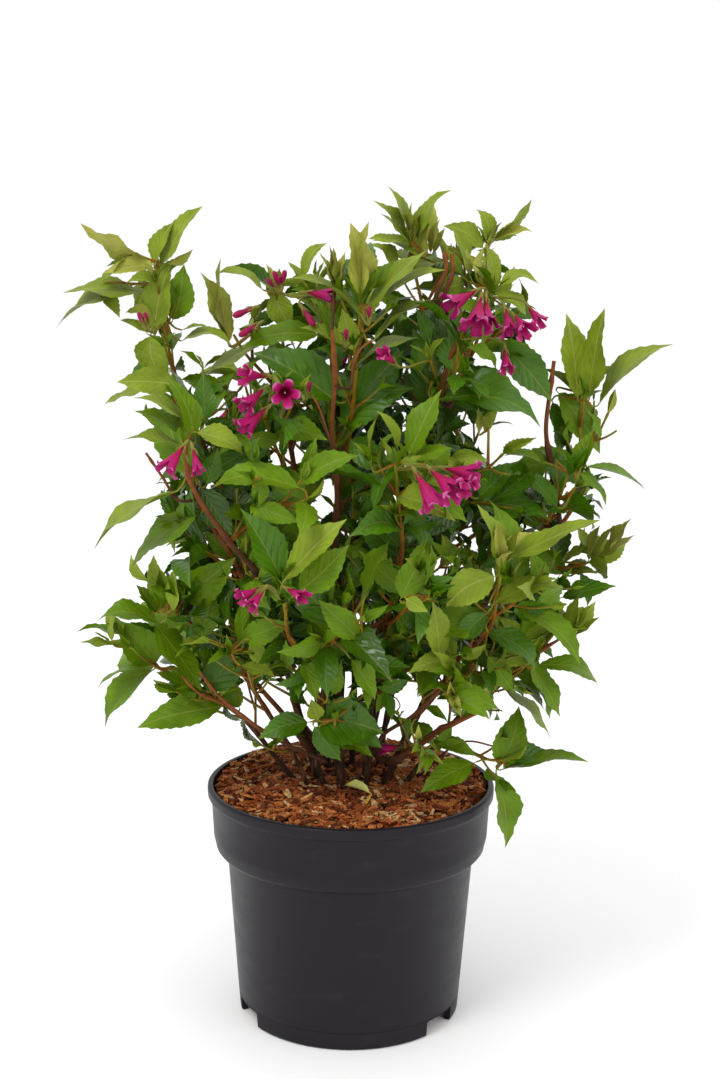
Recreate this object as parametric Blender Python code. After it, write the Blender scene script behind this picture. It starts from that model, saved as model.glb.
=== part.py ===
"""Potted weigela: a many-stemmed flowering shrub, grown in a black five-litre nursery pot.

Metres, +Z up. The origin is the middle of the pot's underside, and -Y faces the viewer.
The pot and its mix are turned shapes. Limbs rise from the mix, and each mass of foliage is one
branch system: a leader, its side shoots, opposite leaves and hanging flowers, fused together.
"""

import math
import random

import bmesh
import bpy
from mathutils import Matrix, Vector
from mathutils.bvhtree import BVHTree

UP = Vector((0, 0, 1))
FRONT = Vector((0, -3, 0.6))
GAP = 0.0003
SEED = 8

# Pot: outer radii and heights, from the ground to the rim
POT_HEIGHT = 0.185
RIM_RADIUS = 0.113
LIP_HEIGHT = 0.010
LIP_WIDTH = 0.0045
COLLAR_TOP_RADIUS = 0.1098
COLLAR_LOW_RADIUS = 0.1084
COLLAR_DEPTH = 0.040
BODY_TOP_RADIUS = 0.0974
BODY_TOP_DEPTH = 0.058
BASE_RADIUS = 0.0876
WALL = 0.002
FLOOR_LIFT = 0.009
PAD_RADIUS = 0.056
FOOT_INNER_RADIUS = 0.0832
POT_SIDES = 40
NOTCH_ANGLES = (-155, -35, 85)
NOTCH_WIDTH = 0.034
NOTCH_HEIGHT = 0.0125
NOTCH_DEPTH = 0.016
NOTCH_RADIUS = 0.0882

# Mix: it is heaped a little towards the stems, and flat where they stand
MIX_EDGE_HEIGHT = 0.173
MIX_TOP = 0.181
MIX_FLAT_RADIUS = 0.052

# Limbs: foot (x, y) on the mix, tip, how far the middle stands above the chord, and foot radius
LIMBS = {
    "limb_centre": ((-0.008, -0.006), (-0.016, -0.020, 0.492), 0.02, 0.0062),
    "limb_peak": ((0.01, -0.004), (0.053, 0.000, 0.525), 0.05, 0.0056),
    "limb_top_right": ((0.008, 0.012), (0.085, 0.017, 0.522), 0.08, 0.0050),
    "limb_inner_left": ((-0.009, 0.011), (-0.053, 0.004, 0.478), 0.07, 0.0050),
    "limb_upper_left": ((-0.025, -0.003), (-0.124, -0.020, 0.478), 0.10, 0.0052),
    "limb_left": ((-0.018, -0.02), (-0.102, -0.108, 0.412), 0.08, 0.0046),
    "limb_far_left": ((-0.038, -0.008), (-0.124, -0.020, 0.268), 0.10, 0.0036),
    "limb_low_left": ((-0.031, -0.022), (-0.083, -0.056, 0.292), 0.06, 0.0036),
    "limb_right": ((0.027, 0.003), (0.157, 0.000, 0.388), 0.12, 0.0056),
    "limb_yellow": ((0.023, -0.018), (0.092, -0.080, 0.318), 0.08, 0.0044),
    "limb_low_right": ((0.039, -0.01), (0.122, -0.030, 0.284), 0.06, 0.0044),
    "limb_front": ((-0.005, -0.029), (-0.038, -0.104, 0.316), 0.12, 0.0042),
    "limb_front_right": ((0.0105, -0.026), (0.033, -0.100, 0.372), 0.10, 0.0042),
    "limb_back_left": ((-0.017, 0.024), (-0.070, 0.088, 0.380), 0.10, 0.0048),
    "limb_back": ((0, 0.029), (-0.002, 0.098, 0.430), 0.10, 0.0050),
    "limb_back_right": ((0.02, 0.024), (0.078, 0.088, 0.380), 0.10, 0.0048),
}
LIMB_TIP_RADIUS = 0.0022
LIMB_FLARE = 1.3
LIMB_CROOK = 0.003
LIMB_SIDES = 5
LIMB_RINGS = 6

# Masses: the limb that carries it, where on the limb (1 is its tip), the leader's tip, how many
# side shoots, the turn of the topmost leaf pair about the leader in degrees, and the leaf length
MASSES = {
    "shoots_top_left": ("limb_upper_left", 1.0, (-0.147, -0.030, 0.590), 1, 0, 0.060),
    "shoots_left_shoulder": ("limb_upper_left", 0.84, (-0.128, -0.074, 0.496), 2, 30, 0.060),
    "shoots_left_arm": ("limb_left", 1.0, (-0.116, -0.130, 0.468), 1, 10, 0.066),
    "shoots_left_low_arm": ("limb_left", 0.74, (-0.126, -0.084, 0.408), 2, 10, 0.066),
    "shoots_inner_left": ("limb_inner_left", 1.0, (-0.091, -0.008, 0.536), 1, 60, 0.056),
    "shoots_upper_left": ("limb_inner_left", 0.88, (-0.060, 0.015, 0.566), 2, 0, 0.056),
    "shoots_left_centre": ("limb_inner_left", 0.72, (-0.067, -0.096, 0.500), 3, 20, 0.068),
    "shoots_centre_top": ("limb_centre", 1.0, (-0.017, -0.020, 0.578), 2, 60, 0.054),
    "shoots_centre_front": ("limb_centre", 0.8, (0.004, -0.084, 0.564), 3, 80, 0.070),
    "shoots_peak": ("limb_peak", 1.0, (0.040, 0.000, 0.606), 3, 0, 0.052),
    "shoots_top_right": ("limb_top_right", 1.0, (0.100, 0.020, 0.604), 3, 0, 0.050),
    "shoots_upper_right": ("limb_top_right", 0.86, (0.099, -0.045, 0.572), 2, 10, 0.054),
    "shoots_centre_right": ("limb_peak", 0.8, (0.076, -0.092, 0.530), 3, 0, 0.070),
    "shoots_right_centre": ("limb_top_right", 0.62, (0.108, -0.078, 0.458), 3, 30, 0.064),
    "shoots_right": ("limb_right", 1.0, (0.172, 0.000, 0.494), 2, 0, 0.058),
    "shoots_right_middle": ("limb_right", 0.86, (0.158, -0.050, 0.440), 2, 20, 0.056),
    "shoots_right_low": ("limb_right", 0.68, (0.176, 0.004, 0.374), 2, 50, 0.050),
    "shoots_flowering_front": ("limb_front_right", 1.0, (0.029, -0.140, 0.458), 2, 70, 0.066),
    "shoots_middle_front": ("limb_front_right", 0.72, (0.046, -0.150, 0.384), 3, 20, 0.062),
    "shoots_bright_front": ("limb_yellow", 1.0, (0.103, -0.130, 0.386), 2, 0, 0.070),
    "shoots_low_right": ("limb_low_right", 1.0, (0.158, -0.034, 0.322), 3, 20, 0.050),
    "shoots_low_right_front": ("limb_low_right", 0.8, (0.128, -0.078, 0.302), 3, 0, 0.062),
    "shoots_low_front_right": ("limb_yellow", 0.66, (0.072, -0.118, 0.308), 2, 0, 0.058),
    "sprig_right": ("limb_low_right", 0.36, (0.116, -0.058, 0.222), 0, 0, 0.062),
    "sprig_foot_front": ("limb_front", 0.34, (-0.012, -0.075, 0.258), 1, 0, 0.058),
    "sprig_foot_right": ("limb_yellow", 0.24, (0.061, -0.065, 0.236), 0, 0, 0.056),
    "shoots_far_left": ("limb_far_left", 1.0, (-0.166, -0.034, 0.300), 2, 30, 0.060),
    "shoots_low_left": ("limb_far_left", 0.7, (-0.112, -0.058, 0.272), 1, 90, 0.066),
    "shoots_left_middle": ("limb_low_left", 1.0, (-0.132, -0.090, 0.350), 3, 60, 0.064),
    "shoots_low_front_left": ("limb_front", 1.0, (-0.046, -0.162, 0.378), 2, 0, 0.070),
    "shoots_low_front": ("limb_front", 0.80, (-0.005, -0.150, 0.362), 2, 45, 0.064),
    "shoots_inner_front": ("limb_left", 0.88, (-0.035, -0.140, 0.446), 3, 20, 0.068),
    "shoots_lower_left_front": ("limb_left", 0.5, (-0.086, -0.112, 0.318), 2, 80, 0.062),
    "shoots_back_top_left": ("limb_back_left", 1.0, (-0.086, 0.100, 0.496), 3, 25, 0.064),
    "shoots_back_left": ("limb_back_left", 0.76, (-0.138, 0.060, 0.402), 3, 65, 0.062),
    "shoots_back_top": ("limb_back", 1.0, (-0.004, 0.092, 0.546), 3, 50, 0.062),
    "shoots_back": ("limb_back", 0.82, (-0.030, 0.150, 0.444), 3, 5, 0.066),
    "shoots_back_top_right": ("limb_back_right", 1.0, (0.080, 0.098, 0.502), 3, 35, 0.062),
    "shoots_back_right": ("limb_back_right", 0.78, (0.136, 0.086, 0.402), 3, 75, 0.062),
    "shoots_low_back_left": ("limb_back_left", 0.46, (-0.128, 0.088, 0.312), 3, 55, 0.062),
    "shoots_low_back_right": ("limb_back_right", 0.46, (0.134, 0.088, 0.306), 3, 45, 0.062),
    "shoots_low_back": ("limb_back", 0.42, (0.022, 0.146, 0.330), 3, 85, 0.064),
}

# Outline leaves: where the tips of the leaves are that give each of these masses its outline
OUTLINE_LEAVES = {
    "shoots_top_left": ((-0.199, -0.035, 0.616), (-0.113, -0.030, 0.629), (-0.212, -0.060, 0.546),
                        (-0.117, -0.050, 0.590), (-0.091, -0.020, 0.529), (-0.158, -0.060, 0.525)),
    "shoots_left_shoulder": ((-0.175, -0.090, 0.491), (-0.153, -0.100, 0.488), (-0.161, -0.110, 0.469)),
    "shoots_left_arm": ((-0.174, -0.150, 0.399),),
    "shoots_left_middle": ((-0.179, -0.110, 0.340),),
    "shoots_far_left": ((-0.192, -0.050, 0.275), (-0.182, -0.060, 0.248)),
    "shoots_low_left": ((-0.156, -0.080, 0.252),),
    "shoots_inner_left": ((-0.113, -0.010, 0.580),),
    "shoots_upper_left": ((-0.104, 0.010, 0.581), (-0.023, 0.020, 0.602)),
    "shoots_centre_front": ((0.000, -0.070, 0.618), (0.052, -0.100, 0.577)),
    "shoots_peak": ((0.023, 0.000, 0.645), (0.069, 0.000, 0.644), (0.010, -0.010, 0.605)),
    "shoots_top_right": ((0.092, 0.020, 0.629), (0.132, 0.020, 0.637), (0.137, 0.010, 0.577)),
    "shoots_centre_right": ((0.130, -0.110, 0.482), (0.137, -0.080, 0.504)),
    "shoots_right": ((0.159, 0.000, 0.552), (0.186, -0.010, 0.556), (0.238, 0.000, 0.530),
                     (0.183, -0.040, 0.456)),
    "shoots_right_middle": ((0.215, -0.050, 0.428),),
    "shoots_right_low": ((0.204, 0.010, 0.343), (0.214, 0.000, 0.394)),
    "shoots_low_right_front": ((0.182, -0.070, 0.285), (0.144, -0.100, 0.253)),
    "shoots_bright_front": ((0.084, -0.140, 0.432), (0.170, -0.130, 0.418)),
    "shoots_low_front_left": ((-0.074, -0.160, 0.421), (-0.004, -0.180, 0.426)),
    "shoots_flowering_front": ((0.059, -0.150, 0.505),),
    "sprig_right": ((0.129, -0.060, 0.260), (0.175, -0.060, 0.226), (0.118, -0.075, 0.164)),
    "sprig_foot_front": ((-0.068, -0.100, 0.249), (0.018, -0.100, 0.248)),
}

OUTLINE_ROLLS = (0, 20, -20, 40, -40, 65, -65)

# Shoots: 3-sided twigs with a leaf pair at each node, the next pair turned a quarter
LEADER_RADIUS = 0.0019
SIDE_RADIUS = 0.0014
TWIG_TIP_RADIUS = 0.0008
TWIG_SIDES = 3
TIP_NODE = 0.005
INTERNODES = (0.020, 0.027, 0.031, 0.033)
BARE_FOOT = 0.016
SIDE_BARE_FOOT = 0.0112
LEADER_STEPS = 4

# Seats: a leader's foot slides in from here until it stands a gap clear of its limb
SEAT_START = 0.006
SEAT_ROUNDS = 12
SEAT_STEPS = 8

SIDE_SHOOT_ANGLE = 38
SIDE_SHOOT_LENGTH = 0.018
SIDE_SHOOT_SHARE = 0.52

# Leaves, at each node from the tip: share of the mass's leaf length, angle off the shoot, and how
# far the leaf hangs
PAIR_LENGTHS = (0.82, 1.0, 1.0, 0.95)
PAIR_ANGLES = (42, 56, 64, 70)
PAIR_SPREAD = 9
PAIR_SAG = (0.05, 0.22, 0.36, 0.45)
LEAF_WIDTH = 0.50
LEAF_WIDEST = 0.44
LEAF_KEEL = 0.10
LEAF_KEEL_DEPTH = 0.024
LEAF_DROOP = 0.17
LEAF_CLEARANCE = 0.0012
LEAF_CLEAR_FROM = 0.14
LEAF_TRIES = 6
LOWEST_LEAF = 0.14
SIDE_LEAF_SHARE = 0.86

# Flower sprays: where the stalks part, the way that they point, open flowers and buds
SPRAYS = (
    ((-0.065, -0.010, 0.557), (-0.9, -0.3, -0.35), 2, 0),
    ((-0.054, 0.000, 0.572), (-0.1, -0.3, 0.9), 0, 3),
    ((-0.040, -0.030, 0.568), (0.9, -0.3, -0.2), 1, 1),
    ((-0.056, -0.104, 0.508), (-0.8, -0.5, -0.35), 3, 0),
    ((-0.045, -0.110, 0.506), (0.1, -1.0, -0.1), 1, 0),
    ((0.026, -0.110, 0.528), (-0.5, -0.6, 0.2), 1, 1),
    ((0.090, -0.052, 0.570), (-0.6, -0.5, -0.65), 3, 0),
    ((0.107, -0.054, 0.568), (0.4, -0.4, -0.8), 3, 0),
    ((0.108, -0.066, 0.536), (0.0, -0.4, -0.9), 1, 0),
    ((-0.113, -0.142, 0.470), (-0.3, -0.3, -0.9), 3, 0),
    ((0.044, -0.154, 0.454), (0.7, -0.5, -0.5), 3, 0),
    ((-0.050, -0.176, 0.379), (-0.8, -0.4, -0.4), 2, 0),
    ((-0.040, -0.174, 0.379), (0.8, -0.5, -0.2), 1, 0),
    ((-0.098, 0.122, 0.480), (-0.6, 0.5, -0.5), 2, 1),
    ((0.000, 0.120, 0.530), (0.1, 0.8, -0.5), 3, 0),
    ((0.096, 0.122, 0.490), (0.5, 0.6, -0.5), 2, 1),
    ((-0.034, 0.172, 0.430), (-0.1, 0.7, -0.7), 2, 0),
    ((0.158, 0.086, 0.400), (0.8, 0.2, -0.5), 2, 0),
    ((-0.160, 0.050, 0.396), (-0.8, 0.2, -0.4), 1, 1),
)
FLOWER_LENGTH = 0.033
FLOWER_MOUTH = 0.0115
FLOWER_LOBES = 5
BUD_LENGTH = 0.020
BUD_RADIUS = 0.0026
STALK_RADIUS = 0.0010
STALK_REACH = 0.030
SPRAY_SPREAD = 34

# Colours: red, green, blue, roughness
COLOURS = {
    "pot": (0.030, 0.030, 0.036, 0.45),
    "mix": (0.190, 0.070, 0.028, 0.95),
    "limb": (0.120, 0.062, 0.038, 0.85),
    "shoots": (0.110, 0.210, 0.030, 0.50),
}


# Growth rule: curves, shoots and nodes


def dice(*labels):
    """A generator that always gives the same draws for the same labels."""
    return random.Random("/".join(str(label) for label in (SEED, *labels)))


def sideways(direction):
    """Two unit vectors square to a direction and to each other, the first one near X or Z."""
    near = UP if abs(direction.x) > 0.85 else Vector((1, 0, 0))
    first = (near - direction * near.dot(direction)).normalized()
    return first, direction.cross(first).normalized()


def cubic(start, start_way, end, end_way, steps):
    """Points of a smooth curve that leaves start along start_way and reaches end along end_way."""
    pull = (end - start).length / 3
    near, far = start + start_way * pull, end - end_way * pull
    points = []
    for step in range(steps + 1):
        t = step / steps
        u = 1 - t
        points.append(start * u**3 + near * 3 * u * u * t + far * 3 * u * t * t + end * t**3)
    return points


def point_at(points, share):
    """The place and the direction at a share of the way along a line of points."""
    place = share * (len(points) - 1)
    index = min(int(place), len(points) - 2)
    step = points[index + 1] - points[index]
    return points[index] + step * (place - index), step.normalized()


def length_of(points):
    return sum((b - a).length for a, b in zip(points, points[1:]))


def limb_points(name):
    """A limb leaves the mix steeply and bows out towards its tip."""
    (x, y), tip, rise, _ = LIMBS[name]
    foot, tip = Vector((x, y, MIX_TOP + GAP)), Vector(tip)
    chord = tip - foot
    middle = (foot + tip) / 2 + UP * 2 * rise * chord.length
    draw = dice(name)
    points = []
    for ring in range(LIMB_RINGS):
        t = ring / (LIMB_RINGS - 1)
        crook = LIMB_CROOK if 0 < ring < LIMB_RINGS - 1 else 0
        shift = Vector((draw.uniform(-1, 1), draw.uniform(-1, 1), 0)) * crook
        points.append(foot * (1 - t) ** 2 + middle * 2 * t * (1 - t) + tip * t * t + shift)
    return points


def limb_radius(name, share):
    foot_radius = LIMBS[name][3]
    return foot_radius + (LIMB_TIP_RADIUS - foot_radius) * share**0.8


class Shoot:
    """A twig: its points, its radii, and the nodes where leaf pairs sit, from the tip down."""

    def __init__(self, mass, label, points, radius, turn, leaf_length, bare):
        self.mass, self.label, self.points = mass, label, points
        self.radius, self.leaf_length = radius, leaf_length
        self.nodes = []
        total = length_of(points)
        distance, number = TIP_NODE, 0
        while total - distance > bare:
            place, way = point_at(points, 1 - distance / total)
            self.nodes.append((place, way, math.radians(turn + 90 * number), number))
            distance += INTERNODES[min(number, len(INTERNODES) - 1)]
            number += 1

    def pair(self, node):
        """The two opposite ways out of a node."""
        _, way, angle, _ = node
        level, other = sideways(way)
        out = level * math.cos(angle) + other * math.sin(angle)
        return out, -out


def leader_of(mass):
    """The mass's stem goes on from its limb and turns up to the leader's tip."""
    limb, share, tip, _, turn, leaf_length = MASSES[mass]
    points = limb_points(limb)
    root, way = point_at(points, min(share, 0.9999))
    tip = Vector(tip)
    chord = (tip - root).normalized()
    if share == 1.0:
        start_way = way
        root = root + way * (GAP + LEADER_RADIUS * 0.1)
    else:
        aside = (chord - way * chord.dot(way)).normalized()
        start_way = (aside + way * 0.8 + chord * 0.6).normalized()
        root = root + aside * (limb_radius(limb, share) + SEAT_START)
    end_way = (chord + UP * 0.55).normalized()
    points = cubic(root, start_way, tip, end_way, LEADER_STEPS)
    if share < 1.0:
        skin = BVHTree.FromPolygons(*limb_shape(limb))
        for _ in range(SEAT_ROUNDS):
            points[0] = points[0] - aside * (clearance_of_foot(points, skin) - GAP)
            points = cubic(points[0], start_way, tip, end_way, LEADER_STEPS)
    return Shoot(mass, "leader", points, LEADER_RADIUS, turn, leaf_length, BARE_FOOT)


def clearance_of_foot(points, skin):
    """How far a leader's first stretch stands off its limb's skin."""
    corners, _ = tube(points[:2], [LEADER_RADIUS] * 2, TWIG_SIDES)
    foot = corners[:TWIG_SIDES]
    edges = list(zip(foot, foot[1:] + foot[:1])) + list(zip(foot, corners[TWIG_SIDES:]))
    places = [start.lerp(end, step / SEAT_STEPS) for start, end in edges for step in range(SEAT_STEPS)]
    return min(skin.find_nearest(place)[3] for place in places)


def side_shoots_of(leader):
    """Side shoots grow from the axils of the older leaf pairs, on alternate sides."""
    wanted = MASSES[leader.mass][3]
    shoots = []
    for number in range(wanted):
        if 1 + number >= len(leader.nodes):
            break
        node = leader.nodes[1 + number]
        draw = dice(leader.mass, "side", number)
        place, way, _, _ = node
        out = leader.pair(node)[draw.randrange(2)]
        angle = math.radians(SIDE_SHOOT_ANGLE + draw.uniform(-7, 7))
        start_way = (way * math.cos(angle) + out * math.sin(angle)).normalized()
        ahead = (leader.points[-1] - place).length
        length = (SIDE_SHOOT_LENGTH + SIDE_SHOOT_SHARE * ahead) * draw.uniform(0.85, 1.15)
        end = place + (start_way + UP * 0.22).normalized() * length
        end_way = (start_way + UP * 0.6).normalized()
        points = cubic(place, start_way, end, end_way, 2)
        turn = draw.uniform(0, 90)
        size = leader.leaf_length * SIDE_LEAF_SHARE
        label = f"side{number}"
        shoots.append(Shoot(leader.mass, label, points, SIDE_RADIUS, turn, size, SIDE_BARE_FOOT))
    return shoots


# Shapes: each is a list of points and a list of faces


def tube(points, radii, sides):
    """A closed round bar through the points, with flat ends."""
    corners, faces = [], []
    way = (points[1] - points[0]).normalized()
    across, _ = sideways(way)
    for index, (point, radius) in enumerate(zip(points, radii)):
        before, after = points[max(index - 1, 0)], points[min(index + 1, len(points) - 1)]
        way = (after - before).normalized()
        across = (across - way * across.dot(way)).normalized()
        other = way.cross(across)
        for side in range(sides):
            angle = math.tau * side / sides
            offset = across * math.cos(angle) + other * math.sin(angle)
            corners.append(point + offset * radius)
    for ring in range(len(points) - 1):
        for side in range(sides):
            a, b = ring * sides + side, ring * sides + (side + 1) % sides
            faces.append((a, b, b + sides, a + sides))
    last = (len(points) - 1) * sides
    faces.append(tuple(reversed(range(sides))))
    faces.append(tuple(range(last, last + sides)))
    return corners, faces


def twig_radii(shoot):
    steps = len(shoot.points) - 1
    return [
        shoot.radius + (TWIG_TIP_RADIUS - shoot.radius) * step / steps for step in range(steps + 1)
    ]


def blade_ways(place, along, way, roll=0.0):
    """A leaf's own axes: along its midrib, out of its upper face towards the light, and across."""
    light = Vector((place.x, place.y, 0)).normalized() * 0.6 + UP * 0.45
    face = way * 0.35 + light
    face = (face - along * face.dot(along)).normalized()
    face = Matrix.Rotation(roll, 3, along) @ face
    return along, face, along.cross(face)


def leaf_shape(base, ways, length, start=0.0, grow=0.0):
    """A leaf of six faces: two margins, a keel under its stalk and a drooping tip."""
    along, face, across = ways
    half = length * LEAF_WIDTH / 2 + grow
    widest = base + along * length * LEAF_WIDEST
    foot = base + along * length * start
    tip = base + along * (length + grow) - face * length * LEAF_DROOP
    keel = base + along * length * (LEAF_KEEL + start) - face * (length * LEAF_KEEL_DEPTH + grow)
    left, right = widest + across * half + face * grow, widest - across * half + face * grow
    corners = [foot + face * grow, left, right, keel, tip]
    faces = [(0, 2, 1), (1, 2, 4), (0, 1, 3), (0, 3, 2), (1, 4, 3), (4, 2, 3)]
    return corners, faces


def flower_shape(base, way, turn, length=FLOWER_LENGTH, mouth=FLOWER_MOUTH):
    """A funnel that opens into five spread lobes round a hollow throat."""
    level, other = sideways(way)
    lobes = FLOWER_LOBES
    corners, faces = [], [tuple(reversed(range(lobes)))]
    rings = [(STALK_RADIUS, 0.0), (mouth, length * 0.96), (mouth * 0.55, length)]
    for ring, (radius, along) in enumerate(rings):
        for index in range(lobes):
            angle = math.tau * (index + (0.5 if ring == 2 else 0)) / lobes + turn
            offset = level * math.cos(angle) + other * math.sin(angle)
            corners.append(base + way * along + offset * radius)
    heart = len(corners)
    corners.append(base + way * length * 0.78)
    for index in range(lobes):
        after = (index + 1) % lobes
        lobe, gap, lobe_after = lobes + index, 2 * lobes + index, lobes + after
        faces.append((index, gap, lobe))
        faces.append((index, after, gap))
        faces.append((after, lobe_after, gap))
        faces.append((heart, lobe, gap))
        faces.append((heart, gap, lobe_after))
    return corners, faces


def bud_shape(base, way, length=BUD_LENGTH):
    """A closed bud: a slim club with a blunt end."""
    level, other = sideways(way)
    points = [base, base + way * length * 0.68, base + way * length]
    return tube(points, [STALK_RADIUS, BUD_RADIUS, BUD_RADIUS * 0.35], 3)


# The crown: every shape is placed only where it clears what is there


def bubble(corners):
    """The middle and the radius of a ball round a shape, for a quick first test."""
    middle = sum(corners, Vector()) / len(corners)
    return middle, max((corner - middle).length for corner in corners)


class Crown:
    """Keeps what has been placed, and tells whether a new shape is clear of it."""

    def __init__(self):
        self.placed = []
        self.parts = {mass: [] for mass in MASSES}
        self.leaders = {}

    def is_clear(self, shape, ignore=(), ignore_mass=None):
        """True if a shape meets nothing but what is ignored, which is given by mass and label."""
        corners, faces = shape
        middle, reach = bubble(corners)
        tree = None
        for other, other_middle, other_reach, mass, label in self.placed:
            if (other_middle - middle).length > reach + other_reach:
                continue
            if mass == ignore_mass or (mass, label) in ignore:
                continue
            tree = tree or BVHTree.FromPolygons(corners, faces)
            if tree.overlap(other):
                return False
        return True

    def keep(self, shape, mass, label):
        corners, faces = shape
        middle, reach = bubble(corners)
        self.placed.append((BVHTree.FromPolygons(corners, faces), middle, reach, mass, label))
        if mass in self.parts:
            self.parts[mass].append(shape)

    def in_own_space(self, mass, place):
        """True where a place is nearer to its own mass's leader than to any other."""
        own = min((place - point).length for point in self.leaders[mass].points)
        for other, leader in self.leaders.items():
            if other != mass and min((place - point).length for point in leader.points) < own:
                return False
        return True


def limb_shape(name):
    """A tapering limb with a flared foot that is cut flat on the mix."""
    points = limb_points(name)
    shares = [ring / (LIMB_RINGS - 1) for ring in range(LIMB_RINGS)]
    radii = [limb_radius(name, share) for share in shares]
    radii[0] *= LIMB_FLARE
    corners, faces = tube(points, radii, LIMB_SIDES)
    for corner in corners[:LIMB_SIDES]:
        corner.z = points[0].z
    return corners, faces


def place_limbs(crown):
    for name in LIMBS:
        shape = limb_shape(name)
        crown.keep(shape, name, "limb")
        make_object(name, shape, "limb")


def place_shoots(crown):
    """Leaders first, then the side shoots that clear them. Gives all shoots."""
    shoots = []
    for mass in MASSES:
        leader = leader_of(mass)
        crown.leaders[mass] = leader
        crown.keep(tube(leader.points, twig_radii(leader), TWIG_SIDES), mass, "leader")
        shoots.append(leader)
    for mass, leader in crown.leaders.items():
        for shoot in side_shoots_of(leader):
            radii = twig_radii(shoot)
            guard = tube(shoot.points, [radius + LEAF_CLEARANCE for radius in radii], 4)
            end_is_own = crown.in_own_space(mass, shoot.points[-1])
            if end_is_own and crown.is_clear(guard, ignore={(mass, "leader")}):
                crown.keep(tube(shoot.points, radii, TWIG_SIDES), mass, shoot.label)
                shoots.append(shoot)
    return shoots


def nearest_shoot(shoots, place):
    """The shoot that a spray hangs from, and the point on it."""
    best = None
    for shoot in shoots:
        for share in range(4, 20):
            point, _ = point_at(shoot.points, share / 20)
            distance = (point - place).length
            if best is None or distance < best[0]:
                best = (distance, shoot, point)
    return best[1], best[2]


def place_flowers(crown, shoots):
    """Hangs each spray on the nearest shoot, with its flowers and buds fanned about its aim."""
    for number, (place, aim, open_flowers, buds) in enumerate(SPRAYS):
        place, aim = Vector(place), Vector(aim).normalized()
        shoot, root = nearest_shoot(shoots, place)
        if (place - root).length > STALK_REACH:
            place = root + (place - root).normalized() * STALK_REACH
        mass, spray = shoot.mass, f"spray{number}"
        own = {(mass, shoot.label), (mass, "leader"), (mass, spray)}
        bend = (place - root).normalized()
        line = cubic(root, bend, place, (bend + aim).normalized(), 2)
        stalk = tube(line, [STALK_RADIUS * 1.2] * 3, 3)
        if not crown.is_clear(stalk, ignore=own):
            continue
        crown.keep(stalk, mass, spray)
        draw = dice(spray)
        first, second = sideways(aim)
        start = draw.uniform(0, math.tau)
        count = open_flowers + buds
        lean = math.radians(SPRAY_SPREAD if count > 1 else 0)
        for index in range(count):
            angle = start + math.tau * index / count
            side = first * math.cos(angle) + second * math.sin(angle)
            way = (aim * math.cos(lean) + side * math.sin(lean)).normalized()
            foot = place - aim * STALK_RADIUS
            turn = draw.uniform(0, math.tau)
            shape = flower_shape(foot, way, turn) if index < open_flowers else bud_shape(foot, way)
            if crown.is_clear(shape, ignore=own):
                crown.keep(shape, mass, spray)


def leaf_fits(crown, mass, place, ways, length):
    """Keeps a leaf if it is clear of everything but the foot of its own stalk."""
    guard = leaf_shape(place, ways, length, start=LEAF_CLEAR_FROM, grow=LEAF_CLEARANCE)
    whole_guard = leaf_shape(place, ways, length, grow=LEAF_CLEARANCE)
    if hangs_too_low(guard[0]) or not crown.is_clear(guard):
        return False
    if not crown.is_clear(whole_guard, ignore_mass=mass):
        return False
    crown.keep(leaf_shape(place, ways, length), mass, "leaf")
    return True


def place_outline_leaves(crown):
    """Grows each outline leaf from the leader's node that suits its length. Gives the sides used."""
    used = set()
    for mass, tips in OUTLINE_LEAVES.items():
        leader = crown.leaders[mass]
        for tip in tips:
            aim = Vector(tip)
            free = []
            for node in leader.nodes:
                for side, out in enumerate(leader.pair(node)):
                    if (mass, node[3], side) not in used:
                        wrong_length = abs((aim - node[0]).length - leader.leaf_length)
                        wrong_side = 0.02 * (1 - out.dot((aim - node[0]).normalized()))
                        free.append((wrong_length + wrong_side, node[3], side))
            for _, number, side in sorted(free):
                place = leader.nodes[number][0]
                along = (aim - place).normalized()
                face = blade_ways(place, along, FRONT)[1]
                length = (aim - place).length / math.hypot(1, LEAF_DROOP)
                along = (aim - place + face * LEAF_DROOP * length).normalized()
                rolls = [math.radians(roll) for roll in OUTLINE_ROLLS]
                turns = [blade_ways(place, along, FRONT, roll) for roll in rolls]
                if any(leaf_fits(crown, mass, place, ways, length) for ways in turns):
                    used.add((mass, number, side))
                    break
            else:
                print("no room for an outline leaf of", mass)
    return used


def place_leaf(crown, shoot, node, side):
    """Tries a few turns of one leaf, and keeps the first that is clear and in its own space."""
    place, way, _, number = node
    out = shoot.pair(node)[side]
    index = min(number, len(PAIR_LENGTHS) - 1)
    opening = dice(shoot.mass, shoot.label, number).uniform(-PAIR_SPREAD, PAIR_SPREAD)
    for attempt in range(LEAF_TRIES):
        draw = dice(shoot.mass, shoot.label, number, side, attempt)
        slack = 5 + 7 * attempt
        angle = math.radians(PAIR_ANGLES[index] + opening + draw.uniform(-slack, slack))
        roll = math.radians(draw.uniform(-2 * slack, 2 * slack))
        outward = Matrix.Rotation(math.radians(draw.uniform(-slack, slack)), 3, way) @ out
        length = shoot.leaf_length * PAIR_LENGTHS[index] * draw.uniform(0.88, 1.10)
        length *= 1 - 0.06 * attempt
        along = way * math.cos(angle) + outward * math.sin(angle) - UP * PAIR_SAG[index]
        ways = blade_ways(place, along.normalized(), way, roll)
        if crown.in_own_space(shoot.mass, place + ways[0] * length * 0.5):
            if leaf_fits(crown, shoot.mass, place, ways, length):
                return True
    return False


def hangs_too_low(corners):
    """Leaves stay above the mix and the rim, and hang lower only outside the pot."""
    nearest = min(math.hypot(corner.x, corner.y) for corner in corners)
    lowest = min(corner.z for corner in corners)
    return lowest < (MIX_TOP + 0.012 if nearest < RIM_RADIUS + 0.003 else LOWEST_LEAF)


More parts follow.
